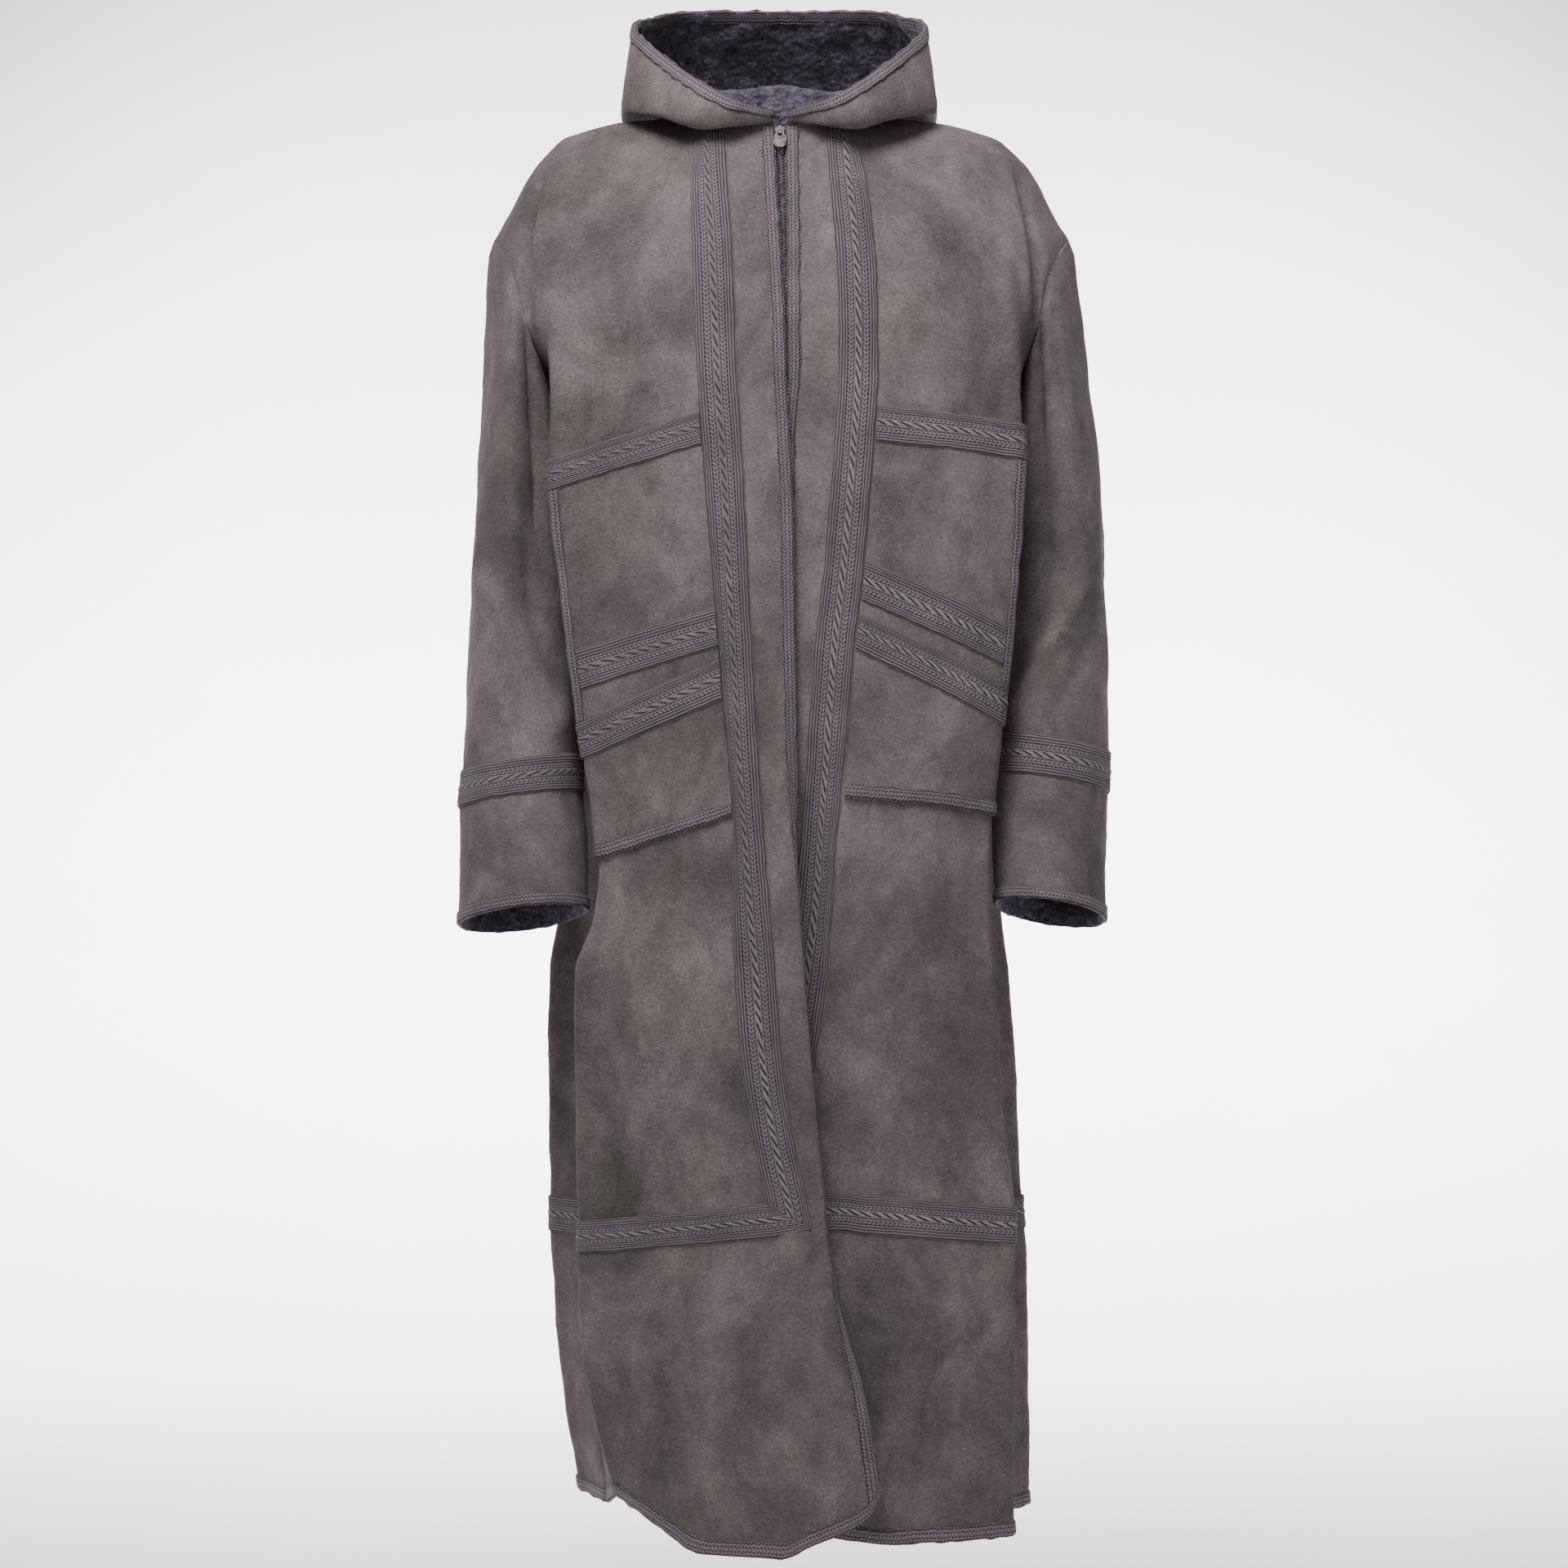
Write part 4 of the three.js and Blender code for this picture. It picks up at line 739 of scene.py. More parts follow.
def suede_material():
    """Brushed faux suede: the eye sees a matt grey-brown nap with cloudy patches, strokes and fine grain.
    The real nap is too fine to show in the render, so the grain is drawn as coarse as it needs to show."""
    n = Nodes("brushed_suede")
    cloud = n.noise(9.0, 5.0, 0.62, (1, 1, 0.75), 3.0, 0.6)
    strokes = n.noise(38.0, 4.0, 0.6, (1, 1, 0.6), 8.0, 0.8)
    grain = n.noise(620.0, 2.0, 0.7, (0.7, 0.7, 1.6))
    fine = n.noise(300.0, 3.0, 0.65, (1, 1, 1.5), 5.0)
    tone = n.ramp((cloud, 0), (0.32, SUEDE_TONES[0]), (0.45, SUEDE_TONES[1]), (0.56, SUEDE_TONES[2]),
                  (0.70, SUEDE_TONES[3]))
    hue = n.noise(5.0, 3.0, 0.5, (1, 1, 1), 14.0)
    tint = n.ramp((hue, 0), (0.38, SUEDE_TINTS[0]), (0.62, SUEDE_TINTS[1]))
    colour = n.mix(0.3, (tone, 0), (tint, 0))
    stroke_tone = n.ramp((strokes, 0), (0.34, 0.84), (0.52, 1.0), (0.68, 1.10))
    colour = n.mix(1.0, colour, (stroke_tone, 0), "MULTIPLY")
    fine_tone = n.ramp((fine, 0), (0.30, 0.62), (0.70, 1.34))
    colour = n.mix(0.6, colour, (fine_tone, 0), "MULTIPLY")
    grain_tone = n.ramp((grain, 0), (0.25, 0.55), (0.75, 1.45))
    colour = n.mix(0.7, colour, (grain_tone, 0), "MULTIPLY")
    height = n.math("ADD", n.math("MULTIPLY", (fine, 0), 0.7), n.math("MULTIPLY", (grain, 0), 0.5))
    height = n.math("ADD", height, n.math("MULTIPLY", (strokes, 0), 1.2))
    return n.finish(colour, 0.94, height, 0.0010, Sheen_Weight=0.25, Sheen_Roughness=0.5,
                    Sheen_Tint=linear("#b8b0ae"), Specular_IOR_Level=0.18)


def fur_material():
    """Short curly fur: the eye sees dark grey-violet tufts with soft lighter tips."""
    n = Nodes("curly_fur_lining")
    curls = n.add("TexVoronoi", {"feature": "SMOOTH_F1"}, Vector=(n.add("TexCoord"), "Object"), Scale=190.0,
                  Smoothness=0.6)
    tufts = n.noise(60.0, 4.0, 0.65, (1, 1, 1), 2.0, 1.5)
    hairs = n.noise(700.0, 3.0, 0.8, (1, 1, 0.35), 4.0, 1.0)
    tone = n.ramp((tufts, 0), (0.35, FUR_TONES[0]), (0.52, FUR_TONES[1]), (0.72, FUR_TONES[2]))
    hair_tone = n.ramp((hairs, 0), (0.3, 0.65), (0.7, 1.4))
    colour = n.mix(0.9, (tone, 0), (hair_tone, 0), "MULTIPLY")
    curl_tone = n.ramp((curls, 0), (0.0, 1.15), (0.75, 0.55))
    colour = n.mix(0.8, colour, (curl_tone, 0), "MULTIPLY")
    height = n.math("SUBTRACT", n.math("MULTIPLY", (hairs, 0), 0.5), (curls, 0))
    height = n.math("ADD", height, n.math("MULTIPLY", (tufts, 0), 1.4))
    return n.finish(colour, 0.85, height, 0.004, Sheen_Weight=0.7, Sheen_Roughness=0.4,
                    Sheen_Tint=linear("#8f8994"), Specular_IOR_Level=0.2)


def yarn_wave(n, value, pitch):
    """A wave from 0 to 1 that repeats each `pitch` of its value."""
    angle = n.math("MULTIPLY", value, 2 * math.pi / pitch)
    return n.math("MULTIPLY_ADD", n.math("SINE", angle), 0.5, 0.5)


def within(n, value, low, high, soft=0.4):
    """1 where the value lies between two places, with soft ends."""
    rise = n.add("MapRange", SMOOTH, Value=value, From_Min=low - soft, From_Max=low + soft)
    fall = n.add("MapRange", SMOOTH, Value=value, From_Min=high - soft, From_Max=high + soft, To_Min=1.0,
                 To_Max=0.0)
    return n.math("MULTIPLY", rise, fall)


def rope_shading_low_and_left(n):
    """Where the wide braid's rope shows most painted highlight and gap shade: low on the garment and all down
    its left front.
    """
    place = n.add("SeparateXYZ", None, Vector=(n.add("TexCoord"), "Object"))
    low = n.add("MapRange", None, Value=(place, "Z"), From_Min=-0.45, From_Max=-0.95, To_Min=0.15, To_Max=1.0)
    left = n.add("MapRange", None, Value=(place, "X"), From_Min=-0.01, From_Max=0.03, To_Min=0.0, To_Max=0.85)
    return n.math("MAXIMUM", low, left)


def braid_material(name, wide):
    """Knitted braid: the eye sees mauve-grey yarn in V stitches and ribs, with a lighter rope if wide. The
    colour is painted: shade in the knit's hollows, gaps and eyelets, and a highlight on the rope's strands
    and raised ribs.
    """
    n = Nodes(name)
    uv = n.add("UVMap", {"uv_map": "braid"})
    split = n.add("SeparateXYZ", None, Vector=uv)
    wobble = n.noise(240.0, 2.0, 0.6, seed=7.0)
    uneven = n.noise(30.0, 1.0, 0.5, seed=11.0)
    # Random patches where the rope shows its painted highlight and gap shade.
    rope_shading_patches = n.ramp((n.noise(14.0, 3.0, 0.6, seed=15.0), 0), (0.40, 0.0), (0.70, 0.9))
    along = n.math("MULTIPLY", (split, "X"), 1000.0)
    along = n.math("ADD", along, n.math("MULTIPLY", (wobble, 0), 1.6))
    across = n.math("MULTIPLY", (split, "Y"), 1000.0)
    middle = (WIDE_BRAID if wide else NARROW_BRAID) / 2
    side = n.math("SUBTRACT", across, middle)
    out = n.math("ABSOLUTE", side)
    # V stitches: two rows of chevrons, one each side of the middle.
    wale = n.math("ABSOLUTE", n.math("SUBTRACT", out, CHEVRON if wide else NARROW_WALE))
    vee = yarn_wave(n, n.math("ADD", along, wale), WIDE_VEE if wide else NARROW_VEE)
    stitch = yarn_wave(n, n.math("ADD", along, out), STITCH)
    if wide:
        rib = n.math("MULTIPLY", yarn_wave(n, n.math("ADD", out, 0.5), WIDE_RIB),
                     n.math("MULTIPLY_ADD", stitch, 0.5, 0.6))
        chevrons = within(n, out, CHEVRON - WIDE_RIB, CHEVRON + WIDE_RIB, 0.2)
        rope_place = within(n, out, -1.0, 2.2, 0.25)
        height = n.add("Mix", {"data_type": "FLOAT"}, _0=n.math("MULTIPLY", chevrons, 0.6), _2=rib, _3=vee)
        lean = n.math("ADD", along, n.math("MULTIPLY", side, 2.3))
        lean = n.math("ADD", lean, n.math("MULTIPLY", (uneven, 0), 14.0))
        place = n.math("FRACT", n.math("DIVIDE", lean, ROPE_TURN))
        strands = within(n, place, 0.16, 0.80, 0.12)
        plies = yarn_wave(n, n.math("ADD", along, n.math("MULTIPLY", side, -2.0)), STITCH)
        rope = n.math("MULTIPLY", strands, n.math("MULTIPLY_ADD", plies, 0.65, 0.35))
        height = n.add("Mix", {"data_type": "FLOAT"}, _0=rope_place, _2=height, _3=rope)
        eyelets = n.math("MULTIPLY", within(n, out, CHEVRON + 2.8, CHEVRON + 3.6, 0.3),
                         n.math("POWER", yarn_wave(n, along, WIDE_VEE), 2.0))
        # How much painted highlight and gap shade the rope shows: in random patches, and more low on the
        # garment and down its left front.
        shown = n.math("MAXIMUM", (rope_shading_patches, 0), rope_shading_low_and_left(n))
        # Painted shade in the gaps between the rope's strands.
        between_strands = n.math("SUBTRACT", 1.0, strands)
        gap_shade = n.math("MULTIPLY", n.math("MULTIPLY", rope_place, between_strands),
                     n.math("MULTIPLY", shown, 0.6))
        # Painted highlight on the rope's strands.
        light = n.math("MULTIPLY", rope_place, n.math("MULTIPLY", strands, shown))
    else:
        wavy = n.math("ADD", out, n.math("MULTIPLY", yarn_wave(n, along, 9.0), 0.6))
        rib = yarn_wave(n, wavy, NARROW_RIB)
        height = n.add("Mix", {"data_type": "FLOAT"}, _0=0.45, _2=vee, _3=rib)
        eyelets = n.math("MULTIPLY", within(n, out, 4.7, 5.2, 0.2), 0.7)
        # Painted shade in the eyelets.
        gap_shade = n.math("MULTIPLY", eyelets, 0.5)
        # Painted highlight on the raised ribs and vees.
        light = n.math("MULTIPLY", n.math("MULTIPLY", rib, vee), 0.2)
    fibre = n.noise(1400.0, 2.0, 0.7, (1, 1, 1), 1.0)
    patch = n.noise(22.0, 3.0, 0.6, (1, 1, 1), 9.0)
    # Tone follows the knit's height: painted shade in its hollows, lighter on its raised yarn.
    tone = n.ramp(height, (0.04, BRAID_TONES[0]), (0.45, BRAID_TONES[1]), (0.95, BRAID_TONES[2]))
    # Painted highlight mixed in.
    colour = n.mix(n.math("MULTIPLY", light, 0.5), (tone, 0), linear(BRAID_TONES[3]))
    # Painted shade in the gaps and eyelets.
    colour = n.mix(n.math("MULTIPLY", n.math("MAXIMUM", gap_shade, eyelets), 0.9), colour, linear(BRAID_TONES[4]))
    low, high = (0.84, 1.16) if wide else (0.72, 1.04)
    colour = n.mix(0.9, colour, (n.ramp((patch, 0), (0.3, low), (0.7, high)), 0), "MULTIPLY")
    colour = n.mix(0.8, colour, (n.ramp((fibre, 0), (0.3, 0.82), (0.7, 1.18)), 0), "MULTIPLY")
    height = n.math("SUBTRACT", height, n.math("MULTIPLY", n.math("MAXIMUM", gap_shade, eyelets), 0.8))
    height = n.math("ADD", height, n.math("MULTIPLY", (fibre, 0), 0.25))
    return n.finish(colour, 0.86, height, 0.0009, Sheen_Weight=0.25, Sheen_Roughness=0.45,
                    Sheen_Tint=linear("#c9c2c8"), Specular_IOR_Level=0.22)


def tape_material():
    """Woven zip tape: the eye sees a dark, close twill."""
    n = Nodes("woven_zip_tape")
    uv = n.add("SeparateXYZ", None, Vector=(n.add("TexCoord"), "Object"))
    weave = yarn_wave(n, n.math("ADD", (uv, "Z"), (uv, "X")), 0.0011)
    grain = n.noise(1500.0, 2.0, 0.7)
    tone = n.ramp(weave, (0.1, TAPE_TONES[0]), (0.9, TAPE_TONES[1]))
    colour = n.mix(0.6, (tone, 0), (n.ramp((grain, 0), (0.3, 0.7), (0.7, 1.3)), 0), "MULTIPLY")
    return n.finish(colour, 0.8, weave, 0.0003, Sheen_Weight=0.2, Specular_IOR_Level=0.3)


def metal_material(name, colour_low, colour_high, roughness):
    """Die-cast zip metal: the eye sees satin grey with faint scratches and darker hollows."""
    n = Nodes(name)
    scratches = n.noise(900.0, 3.0, 0.6, (1, 1, 0.2), 6.0)
    cloud = n.noise(300.0, 2.0, 0.5, (1, 1, 1), 2.0)
    tone = n.ramp((cloud, 0), (0.3, colour_low), (0.7, colour_high))
    rough = n.add("MapRange", None, Value=(scratches, 0), To_Min=roughness - 0.08, To_Max=roughness + 0.14)
    return n.finish((tone, 0), rough, (scratches, 0), 0.00006, Metallic=1.0)


def make_materials():
    if MATERIALS:
        return
    MATERIALS.update(
        suede=suede_material(), fur=fur_material(), wide=braid_material("knitted_wide_braid", True),
        narrow=braid_material("knitted_narrow_braid", False), tape=tape_material(),
        metal=metal_material("satin_zip_metal", "#3d3a3a", "#6b6666", 0.46),
        teeth=metal_material("dark_zip_teeth", "#4a484b", "#77757a", 0.38),
    )


# ---- meshes ----
def to_object(name, points, faces, materials, face_slots=None, uvs=None, sharp=48.0):
    """A smooth mesh object from millimetre points, quads or triangles, and a UV for each point."""
    mesh = bpy.data.meshes.new(name)
    mesh.from_pydata((np.asarray(points) * MM).tolist(), [], [list(map(int, f)) for f in faces])
    for key in materials:
        mesh.materials.append(MATERIALS[key])
    if face_slots is not None:
        mesh.polygons.foreach_set("material_index", np.asarray(face_slots, np.int32))
    if uvs is not None:
        layer = mesh.uv_layers.new(name="braid")
        loops = np.zeros(len(mesh.loops), np.int32)
        mesh.loops.foreach_get("vertex_index", loops)
        layer.data.foreach_set("uv", np.asarray(uvs, np.float32)[loops].ravel())
    mesh.validate()
    mesh.shade_smooth()
    mesh.set_sharp_from_angle(angle=math.radians(sharp))
    obj = bpy.data.objects.new(name, mesh)
    bpy.context.scene.collection.objects.link(obj)
    return obj


def grid_faces(rows, columns, flip, offset=0):
    r, c = np.meshgrid(np.arange(rows - 1), np.arange(columns - 1), indexing="ij")
    a = (r * columns + c).ravel() + offset
    quads = np.stack([a, a + columns, a + columns + 1, a + 1], axis=1)
    return quads[:, ::-1] if flip else quads


def border(rows, columns):
    """The border of a grid as one loop of point numbers."""
    grid = np.arange(rows * columns).reshape(rows, columns)
    return np.concatenate([grid[:-1, 0], grid[-1, :-1], grid[1:, -1][::-1], grid[0, 1:][::-1]])


def shell(outer, inner, flip):
    """Points and faces of a wall between two grids; the third value marks the inner and border faces."""
    rows, columns = outer.shape[:2]
    count = rows * columns
    points = np.concatenate([outer.reshape(-1, 3), inner.reshape(-1, 3)])
    front = grid_faces(rows, columns, flip)
    back = grid_faces(rows, columns, not flip, count)
    loop = border(rows, columns)
    nxt = np.roll(loop, -1)
    rim = np.stack([loop, loop + count, nxt + count, nxt], axis=1)
    if flip:
        rim = rim[:, ::-1]
    faces = np.concatenate([front, back, rim])
    marks = np.concatenate([np.zeros(len(front)), np.ones(len(back)), np.full(len(rim), 2)])
    return points, faces, marks.astype(int)


def finish_piece(obj, nodes, body="garment"):
    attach(obj, body)
    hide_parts(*nodes)
    return obj


PILE_DEPTH = 2.2
PILE_LUMPS = 1.1
PILE_ROOT = 0.6
RIM_SHARE = 0.25
HOOD_CELL_SHARE = 0.75
BRAID_CELL = 5.0
WIDE_STEPS, NARROW_STEPS = 26, 10
ON_PANEL = SEAM_GAP
INSIDE_RIM = -(CLOTH + BRAID_THICKNESS)
ON_POCKET = 2 * SEAM_GAP + POCKET_THICKNESS


def fur_depth(p, seed):
    """How far the pile of the lining stands in from the cloth's inner face."""
    lumps = waves(p, 26, 10, seed) + 0.7 * waves(p, 11, 10, seed + 1)
    return PILE_DEPTH + PILE_LUMPS * np.clip(lumps, -1.6, 2.2)


def add_panel(name, cell):
    net = NETS[name]
    rows, columns = net.points.shape[:2]
    v = stops(net, 0, 0, rows - 1, cell)
    u = stops(net, 1, 0, columns - 1, cell)
    outer, normal = cloth_at(name, v[:, None], u[None, :])
    pile = fur_depth(outer, 21)
    rim = smooth_step(np.minimum(v, rows - 1 - v) / RIM_SHARE)[:, None]
    if not net.ring:
        rim = np.minimum(rim, smooth_step(np.minimum(u, columns - 1 - u) / RIM_SHARE)[None, :])
    inner = outer - normal * (CLOTH - PILE_ROOT + pile * rim)[..., None]
    points, faces, marks = shell(outer, inner, net.flip)
    obj = to_object(name + "_cloth", points, faces, ("suede", "fur"), (marks == 1).astype(int))
    return finish_piece(obj, [name])


def add_braid(name, net_name, rows, columns, lengthwise, wide, lift, node=None, cut=None):
    """A braid over rows and columns of a net. `lengthwise` is True where it runs down the rows. `cut` says
    how its end is mitred: "tip" stretches the upright's inner border, "band" starts the level band there."""
    net = NETS[net_name]
    width = WIDE_BRAID if wide else NARROW_BRAID
    across_steps = WIDE_STEPS if wide else NARROW_STEPS
    if lengthwise:
        run = stops(net, 0, rows[0], rows[1], BRAID_CELL)
        side = np.linspace(columns[0], columns[1], across_steps)
        v, u = np.meshgrid(run, side, indexing="ij")
        if cut == "tip":
            share = (side - columns[0]) / (columns[1] - columns[0])
            last = run[-2]
            stretch = np.clip((v - last) / (run[-1] - last), 0, 1)
            v = v + stretch * (1 - share)[None, :]
    else:
        run = stops(net, 1, columns[0], columns[1], BRAID_CELL)
        side = np.linspace(rows[0], rows[1], across_steps)
        u, v = np.meshgrid(run, side, indexing="ij")
        if cut == "band":
            share = (side - rows[0]) / (rows[1] - rows[0])
            first = run[1]
            stretch = np.clip((first - u) / (first - run[0]), 0, 1)
            u = u - 2 * stretch * share[None, :]
    p, n = cloth_at(net_name, v, u)
    t = np.linspace(0, 1, across_steps)
    sideways = np.gradient(p, axis=1)
    sideways /= np.maximum(np.linalg.norm(sideways, axis=-1, keepdims=True), 1e-6)
    to_edges = (np.abs(2 * t - 1) ** 3 * np.sign(t - 0.5))[None, :]
    ruffle = waves(p, 16, 8, 31) * (0.5 if wide else 0.9) * to_edges
    p = p + sideways * ruffle[..., None]
    lift = lift + 0.35 * (1 + np.clip(waves(p, 20, 8, 32), -1, 1)) * (np.abs(2 * t - 1) ** 4)[None, :]
    steps = np.linalg.norm(np.diff(p, axis=0), axis=2).mean(axis=1)
    along = np.concatenate([[0], np.cumsum(steps)])
    rib = braid_profile(t * width, wide)
    outer = p + n * (lift + BRAID_THICKNESS - 0.5 + rib[None, :])[..., None]
    inner = p + n * lift[..., None]
    flip = net.flip if lengthwise else not net.flip
    points, faces, _ = shell(outer, inner, flip)
    side_share = 1 - t if net_name == "front_left" else t
    uv = np.stack(np.broadcast_arrays(along[:, None], side_share[None, :] * width), axis=-1)
    uv = uv.reshape(-1, 2) * MM
    obj = to_object(node or name, points, faces, ("wide" if wide else "narrow",), None,
                    np.concatenate([uv, uv]), sharp=70.0)
    return finish_piece(obj, [name])


def braid_profile(across, wide):
    """Height of the braid's ribs over its plain face."""
    half = (WIDE_BRAID if wide else NARROW_BRAID) / 2
    out = np.abs(across - half)
    edge = -1.2 * smooth_step((out - (half - 1.2)) / 1.2)
    if not wide:
        return edge + 0.2 * np.cos(out * 2 * math.pi / 2.5) - 0.5 * np.exp(-((out - 4.9) / 0.5) ** 2)
    cable = 0.7 * np.exp(-((out / 2.0) ** 2))
    groove = -0.6 * np.exp(-((out - 3.2) / 0.6) ** 2) - 0.4 * np.exp(-((out - 9.9) / 0.6) ** 2)
    return edge + cable + groove + 0.3 * np.exp(-((out - 12.0) / 3.4) ** 2)


NETS = build_nets()


# ---- add-on ----
class AbayaSettings(bpy.types.PropertyGroup):
    cell: FloatProperty(
        name="Cloth cell", description="Size of the cloth's mesh cells", default=0.0065, min=0.003, max=0.03,
        unit="LENGTH")
    floor_colour: FloatVectorProperty(
        name="Floor colour", description="Colour of the floor and backdrop", default=(0.9, 0.9, 0.9),
        subtype="COLOR", size=3, min=0.0, max=1.0)


class ABAYA_OT_panels(bpy.types.Operator):
    """Builds the fronts, back, sleeves and hood"""
    bl_idname = "abaya.panels"
    bl_label = "Cloth panels"

    def execute(self, context):
        make_materials()
        cell = context.scene.abaya.cell / MM
        for name in NETS:
            add_panel(name, cell * (HOOD_CELL_SHARE if name.startswith("hood") else 1.0))
        return {"FINISHED"}


class ABAYA_OT_pockets(bpy.types.Operator):
    """Builds the two patch pockets"""
    bl_idname = "abaya.pockets"
    bl_label = "Pockets"

    def execute(self, context):
        make_materials()
        cell = context.scene.abaya.cell / MM
        for side in ("right", "left"):
            name = "front_" + side
            net = NETS[name]
            v = stops(net, 0, ROW["band_top"], ROW["hem_band_bottom"], cell)
            u = stops(net, 1, COLUMN["pocket"], COLUMN["fold"], cell)
            p, n = cloth_at(name, v[:, None], u[None, :])
            points, faces, _ = shell(p + n * (SEAM_GAP + POCKET_THICKNESS), p + n * SEAM_GAP, net.flip)
            pocket = "pocket_" + side
            obj = to_object(pocket + "_cloth", points, faces, ("suede",))
            finish_piece(obj, [pocket])
        return {"FINISHED"}


class ABAYA_OT_braids(bpy.types.Operator):
    """Builds all the knitted braids"""
    bl_idname = "abaya.braids"
    bl_label = "Braids"

    def execute(self, context):
        make_materials()
        c, r = COLUMN, ROW
        for side in ("right", "left"):
            front, end = "front_" + side, "_" + side
            across = (c["pocket"], c["fold"])
            jobs = [
                ("front_edge_braid", (0, r["hem_top"]), (c["edge"], c["narrow"]), True, False,
                 ON_PANEL, None),
                ("front_braid", (0, r["skirt_band_top"]), (c["braid_in"], c["braid_out"]), True, True,
                 ON_PANEL, "tip"),
                ("skirt_band", (r["skirt_band_top"], r["skirt_band_bottom"]), (c["braid_out"], c["side"]),
                 False, True, ON_PANEL, "band"),
                ("hem_braid", (r["hem_top"], LAST_ROW), (c["edge"], c["side"]), False, False, ON_PANEL, None),
                ("pocket_top_braid", (r["band_top"], r["band_bottom"]), across, False, True, ON_POCKET, None),
                ("pocket_upper_slant", (r["slant_top"], r["slant_bottom"]), (c["pocket"], c["mouth"]), False,
                 True, ON_POCKET, None),
                ("pocket_lower_slant", (r["low_slant_top"], r["low_slant_bottom"]), across, False, True,
                 ON_POCKET, None),
                ("pocket_mouth_braid", (r["band_bottom"], r["low_slant_top"]), (c["mouth"], c["fold"]), True,
                 False, ON_POCKET, None),
                ("pocket_bottom_braid", (r["hem_band_top"], r["hem_band_bottom"]), across, False, False,
                 ON_POCKET, None),
            ]
            for stem, rows, columns, lengthwise, wide, lift, cut in jobs:
                add_braid(stem + end, front, rows, columns, lengthwise, wide, lift, stem + end + "_knit", cut)
            sleeve = "sleeve_" + side
            first = len(ARMHOLE_BLEND) + 1
            top, bottom = (first + k for k in SLEEVE_BRAID_RINGS)
            rows, columns = NETS[sleeve].points.shape[:2]
            add_braid("sleeve_braid" + end, sleeve, (top, bottom), (0, columns - 1), False, True, ON_PANEL,
                      "sleeve_braid" + end + "_knit")
            add_braid("cuff_braid" + end, sleeve, (rows - 2, rows - 1), (0, columns - 1), False, False,
                      ON_PANEL, "cuff_braid" + end + "_knit")
        last = NETS["back"].points.shape[1] - 1
        add_braid("skirt_band_back", "back", (r["skirt_band_top"], r["skirt_band_bottom"]), (0, last), False,
                  True, ON_PANEL, "skirt_band_back_knit")
        add_braid("hem_braid_back", "back", (r["hem_top"], LAST_ROW), (0, last), False, False, ON_PANEL,
                  "hem_braid_back_knit")
        self.add_hood_braid()
        return {"FINISHED"}

    def add_hood_braid(self):
        last = NETS["hood_right"].points.shape[1] - 1
        rows = (HOOD_ROWS - 1, HOOD_ROWS)
        for name in ("hood_right", "hood_left"):
            for lift, ending in ((ON_PANEL, "_braid_knit"), (INSIDE_RIM, "_braid_inner_knit")):
                add_braid("hood_braid", name, rows, (0, last), False, False, lift, name + ending)


TEETH_TOP, TEETH_BOTTOM = -28, -644
TOOTH_PITCH = 1.5
TOOTH_OFFSET = 0.75
TOOTH_HALF = np.array([1.55, 1.1, 0.5])
BLOCK_FACES = ((0, 1, 3, 2), (4, 6, 7, 5), (0, 4, 5, 1), (2, 3, 7, 6), (0, 2, 6, 4), (1, 5, 7, 3))


class ABAYA_OT_zip(bpy.types.Operator):
    """Gives the zip's tapes, slider and pull their materials and builds its teeth"""
    bl_idname = "abaya.zip"
    bl_label = "Zip"

    def execute(self, context):
        make_materials()
        for node, material in (("zip_tape_right", "tape"), ("zip_tape_left", "tape"),
                               ("zip_slider", "metal"), ("zip_pull", "metal")):
            NODES[node].data.materials.clear()
            NODES[node].data.materials.append(MATERIALS[material])
        self.add_teeth()
        return {"FINISHED"}

    def add_teeth(self):
        line = np.array(ZIP_LINE, float)
        corners = np.array([(x, y, h) for x in (-1, 1) for y in (-1, 1) for h in (-1, 1)], float)
        points, faces = [], []
        for k, z in enumerate(np.arange(TEETH_TOP, TEETH_BOTTOM, -TOOTH_PITCH)):
            sign = 1 if k % 2 else -1
            centre = on_line(line, z) + (sign * TOOTH_OFFSET, 0, 0)
            start = len(points)
            points += list(centre + corners * TOOTH_HALF)
            faces += [[start + q for q in face] for face in BLOCK_FACES]
        obj = to_object("zip_teeth_row", points, faces, ("teeth",), sharp=30.0)
        finish_piece(obj, ["zip_teeth"])


# Lights: name, place, what it is aimed at, size in metres, watts and spread.
LIGHTS = [
    ("key", (-0.5, -1.45, 1.35), (0.0, 0, -0.2), 1.3, 59.0, math.pi),
    ("fill", (0.5, -2.6, 0.1), (0, 0, -0.2), 1.8, 10.0, math.pi),
    ("top", (0, -0.5, 1.8), (0, 0, -0.2), 1.4, 10.0, math.pi),
    ("backdrop_right", (-2.2, 2.0, 1.6), (-0.3, 3.4, -1.0), 1.8, 240.0, 1.9),
    ("backdrop_left", (2.2, 2.0, 1.6), (0.3, 3.4, -1.0), 1.8, 240.0, 1.9),
]
ROOM_COLOUR, ROOM_STRENGTH = (0.97, 0.96, 1.0, 1), 0.12
CAMERA_PLACE = (0.004, -3.2, -0.636)
CAMERA_LENS, CAMERA_SENSOR = 76.0, 36.0


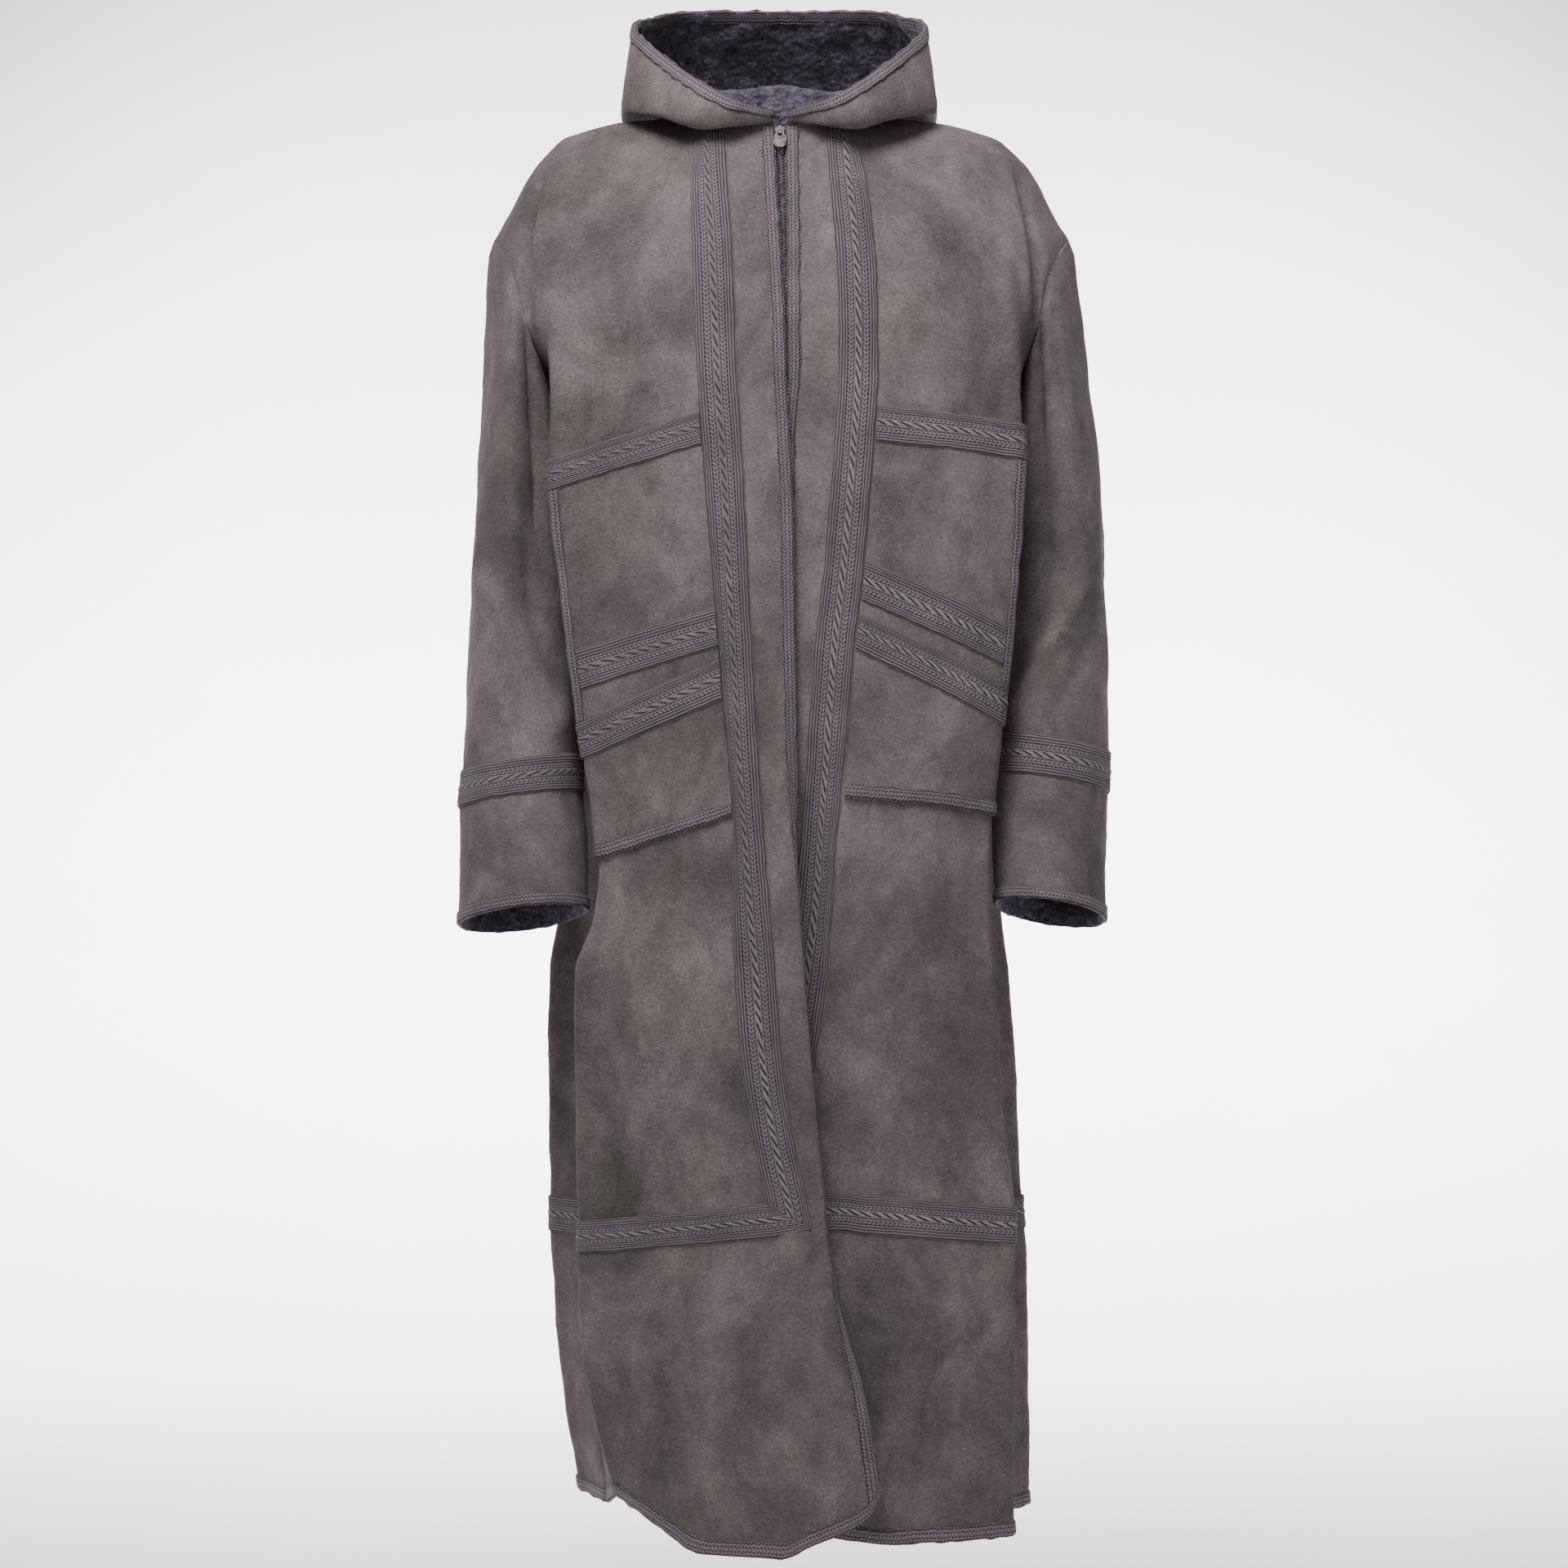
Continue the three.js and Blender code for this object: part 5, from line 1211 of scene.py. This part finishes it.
class ABAYA_OT_stage(bpy.types.Operator):
    """Builds the floor, backdrop, lights and camera"""
    bl_idname = "abaya.stage"
    bl_label = "Stage"

    def execute(self, context):
        colour = tuple(context.scene.abaya.floor_colour) + (1.0,)
        n = Nodes("matt_paper_backdrop")
        grain = n.noise(3.0, 2.0, 0.5)
        tone = n.mix(0.06, colour, (grain, 0), "MULTIPLY")
        material = n.finish(tone, 0.9)
        width, front, depth, floor, height, bend = 6.0, -4.2, 4.6, -1.52, 4.2, 3.0
        profile = [(front, floor), (depth - bend, floor)]
        profile += [(depth - bend + bend * math.sin(a), floor + bend - bend * math.cos(a))
                    for a in np.linspace(0.15, math.pi / 2, 12)]
        profile += [(depth, height)]
        points = [(x, y, z) for y, z in profile for x in (-width, width)]
        faces = [(2 * k, 2 * k + 1, 2 * k + 3, 2 * k + 2) for k in range(len(profile) - 1)]
        mesh = bpy.data.meshes.new("backdrop")
        mesh.from_pydata(points, [], faces)
        mesh.materials.append(material)
        mesh.shade_smooth()
        backdrop = bpy.data.objects.new("backdrop", mesh)
        context.scene.collection.objects.link(backdrop)
        for row in LIGHTS:
            self.add_light(context, *row)
        world = bpy.data.worlds.new("studio")
        world.use_nodes = True
        world.node_tree.nodes["Background"].inputs[0].default_value = ROOM_COLOUR
        world.node_tree.nodes["Background"].inputs[1].default_value = ROOM_STRENGTH
        context.scene.world = world
        camera = bpy.data.cameras.new("camera")
        camera.lens = CAMERA_LENS
        camera.sensor_width = CAMERA_SENSOR
        obj = bpy.data.objects.new("camera", camera)
        obj.location = CAMERA_PLACE
        obj.rotation_euler = (math.radians(90), 0, 0)
        context.scene.collection.objects.link(obj)
        context.scene.camera = obj
        return {"FINISHED"}

    def add_light(self, context, name, place, target, size, power, spread):
        light = bpy.data.lights.new(name, "AREA")
        light.shape = "DISK"
        light.size = size
        light.energy = power
        light.spread = spread
        obj = bpy.data.objects.new(name, light)
        obj.location = place
        obj.visible_camera = False
        way = np.array(target, float) - np.array(place, float)
        flat = math.hypot(way[0], way[1])
        obj.rotation_euler = (math.atan2(flat, -way[2]), 0, math.atan2(way[1], way[0]) - math.pi / 2)
        context.scene.collection.objects.link(obj)


STEPS = ("panels", "pockets", "braids", "zip", "stage")


class ABAYA_PT_panel(bpy.types.Panel):
    bl_idname = "ABAYA_PT_panel"
    bl_label = "Abaya"
    bl_space_type = "VIEW_3D"
    bl_region_type = "UI"
    bl_category = "Abaya"

    def draw(self, context):
        settings = context.scene.abaya
        self.layout.prop(settings, "cell")
        self.layout.prop(settings, "floor_colour")
        for name in STEPS:
            self.layout.operator("abaya." + name)


CLASSES = (AbayaSettings, ABAYA_OT_panels, ABAYA_OT_pockets, ABAYA_OT_braids, ABAYA_OT_zip, ABAYA_OT_stage,
           ABAYA_PT_panel)


def register():
    for cls in CLASSES:
        bpy.utils.register_class(cls)
    bpy.types.Scene.abaya = PointerProperty(type=AbayaSettings)


def unregister():
    del bpy.types.Scene.abaya
    for cls in reversed(CLASSES):
        bpy.utils.unregister_class(cls)


def main():
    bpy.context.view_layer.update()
    register()
    for name in STEPS:
        if getattr(bpy.ops.abaya, name)() != {"FINISHED"}:
            raise RuntimeError("operator abaya." + name + " did not finish")


if __name__ == "__main__":
    main()
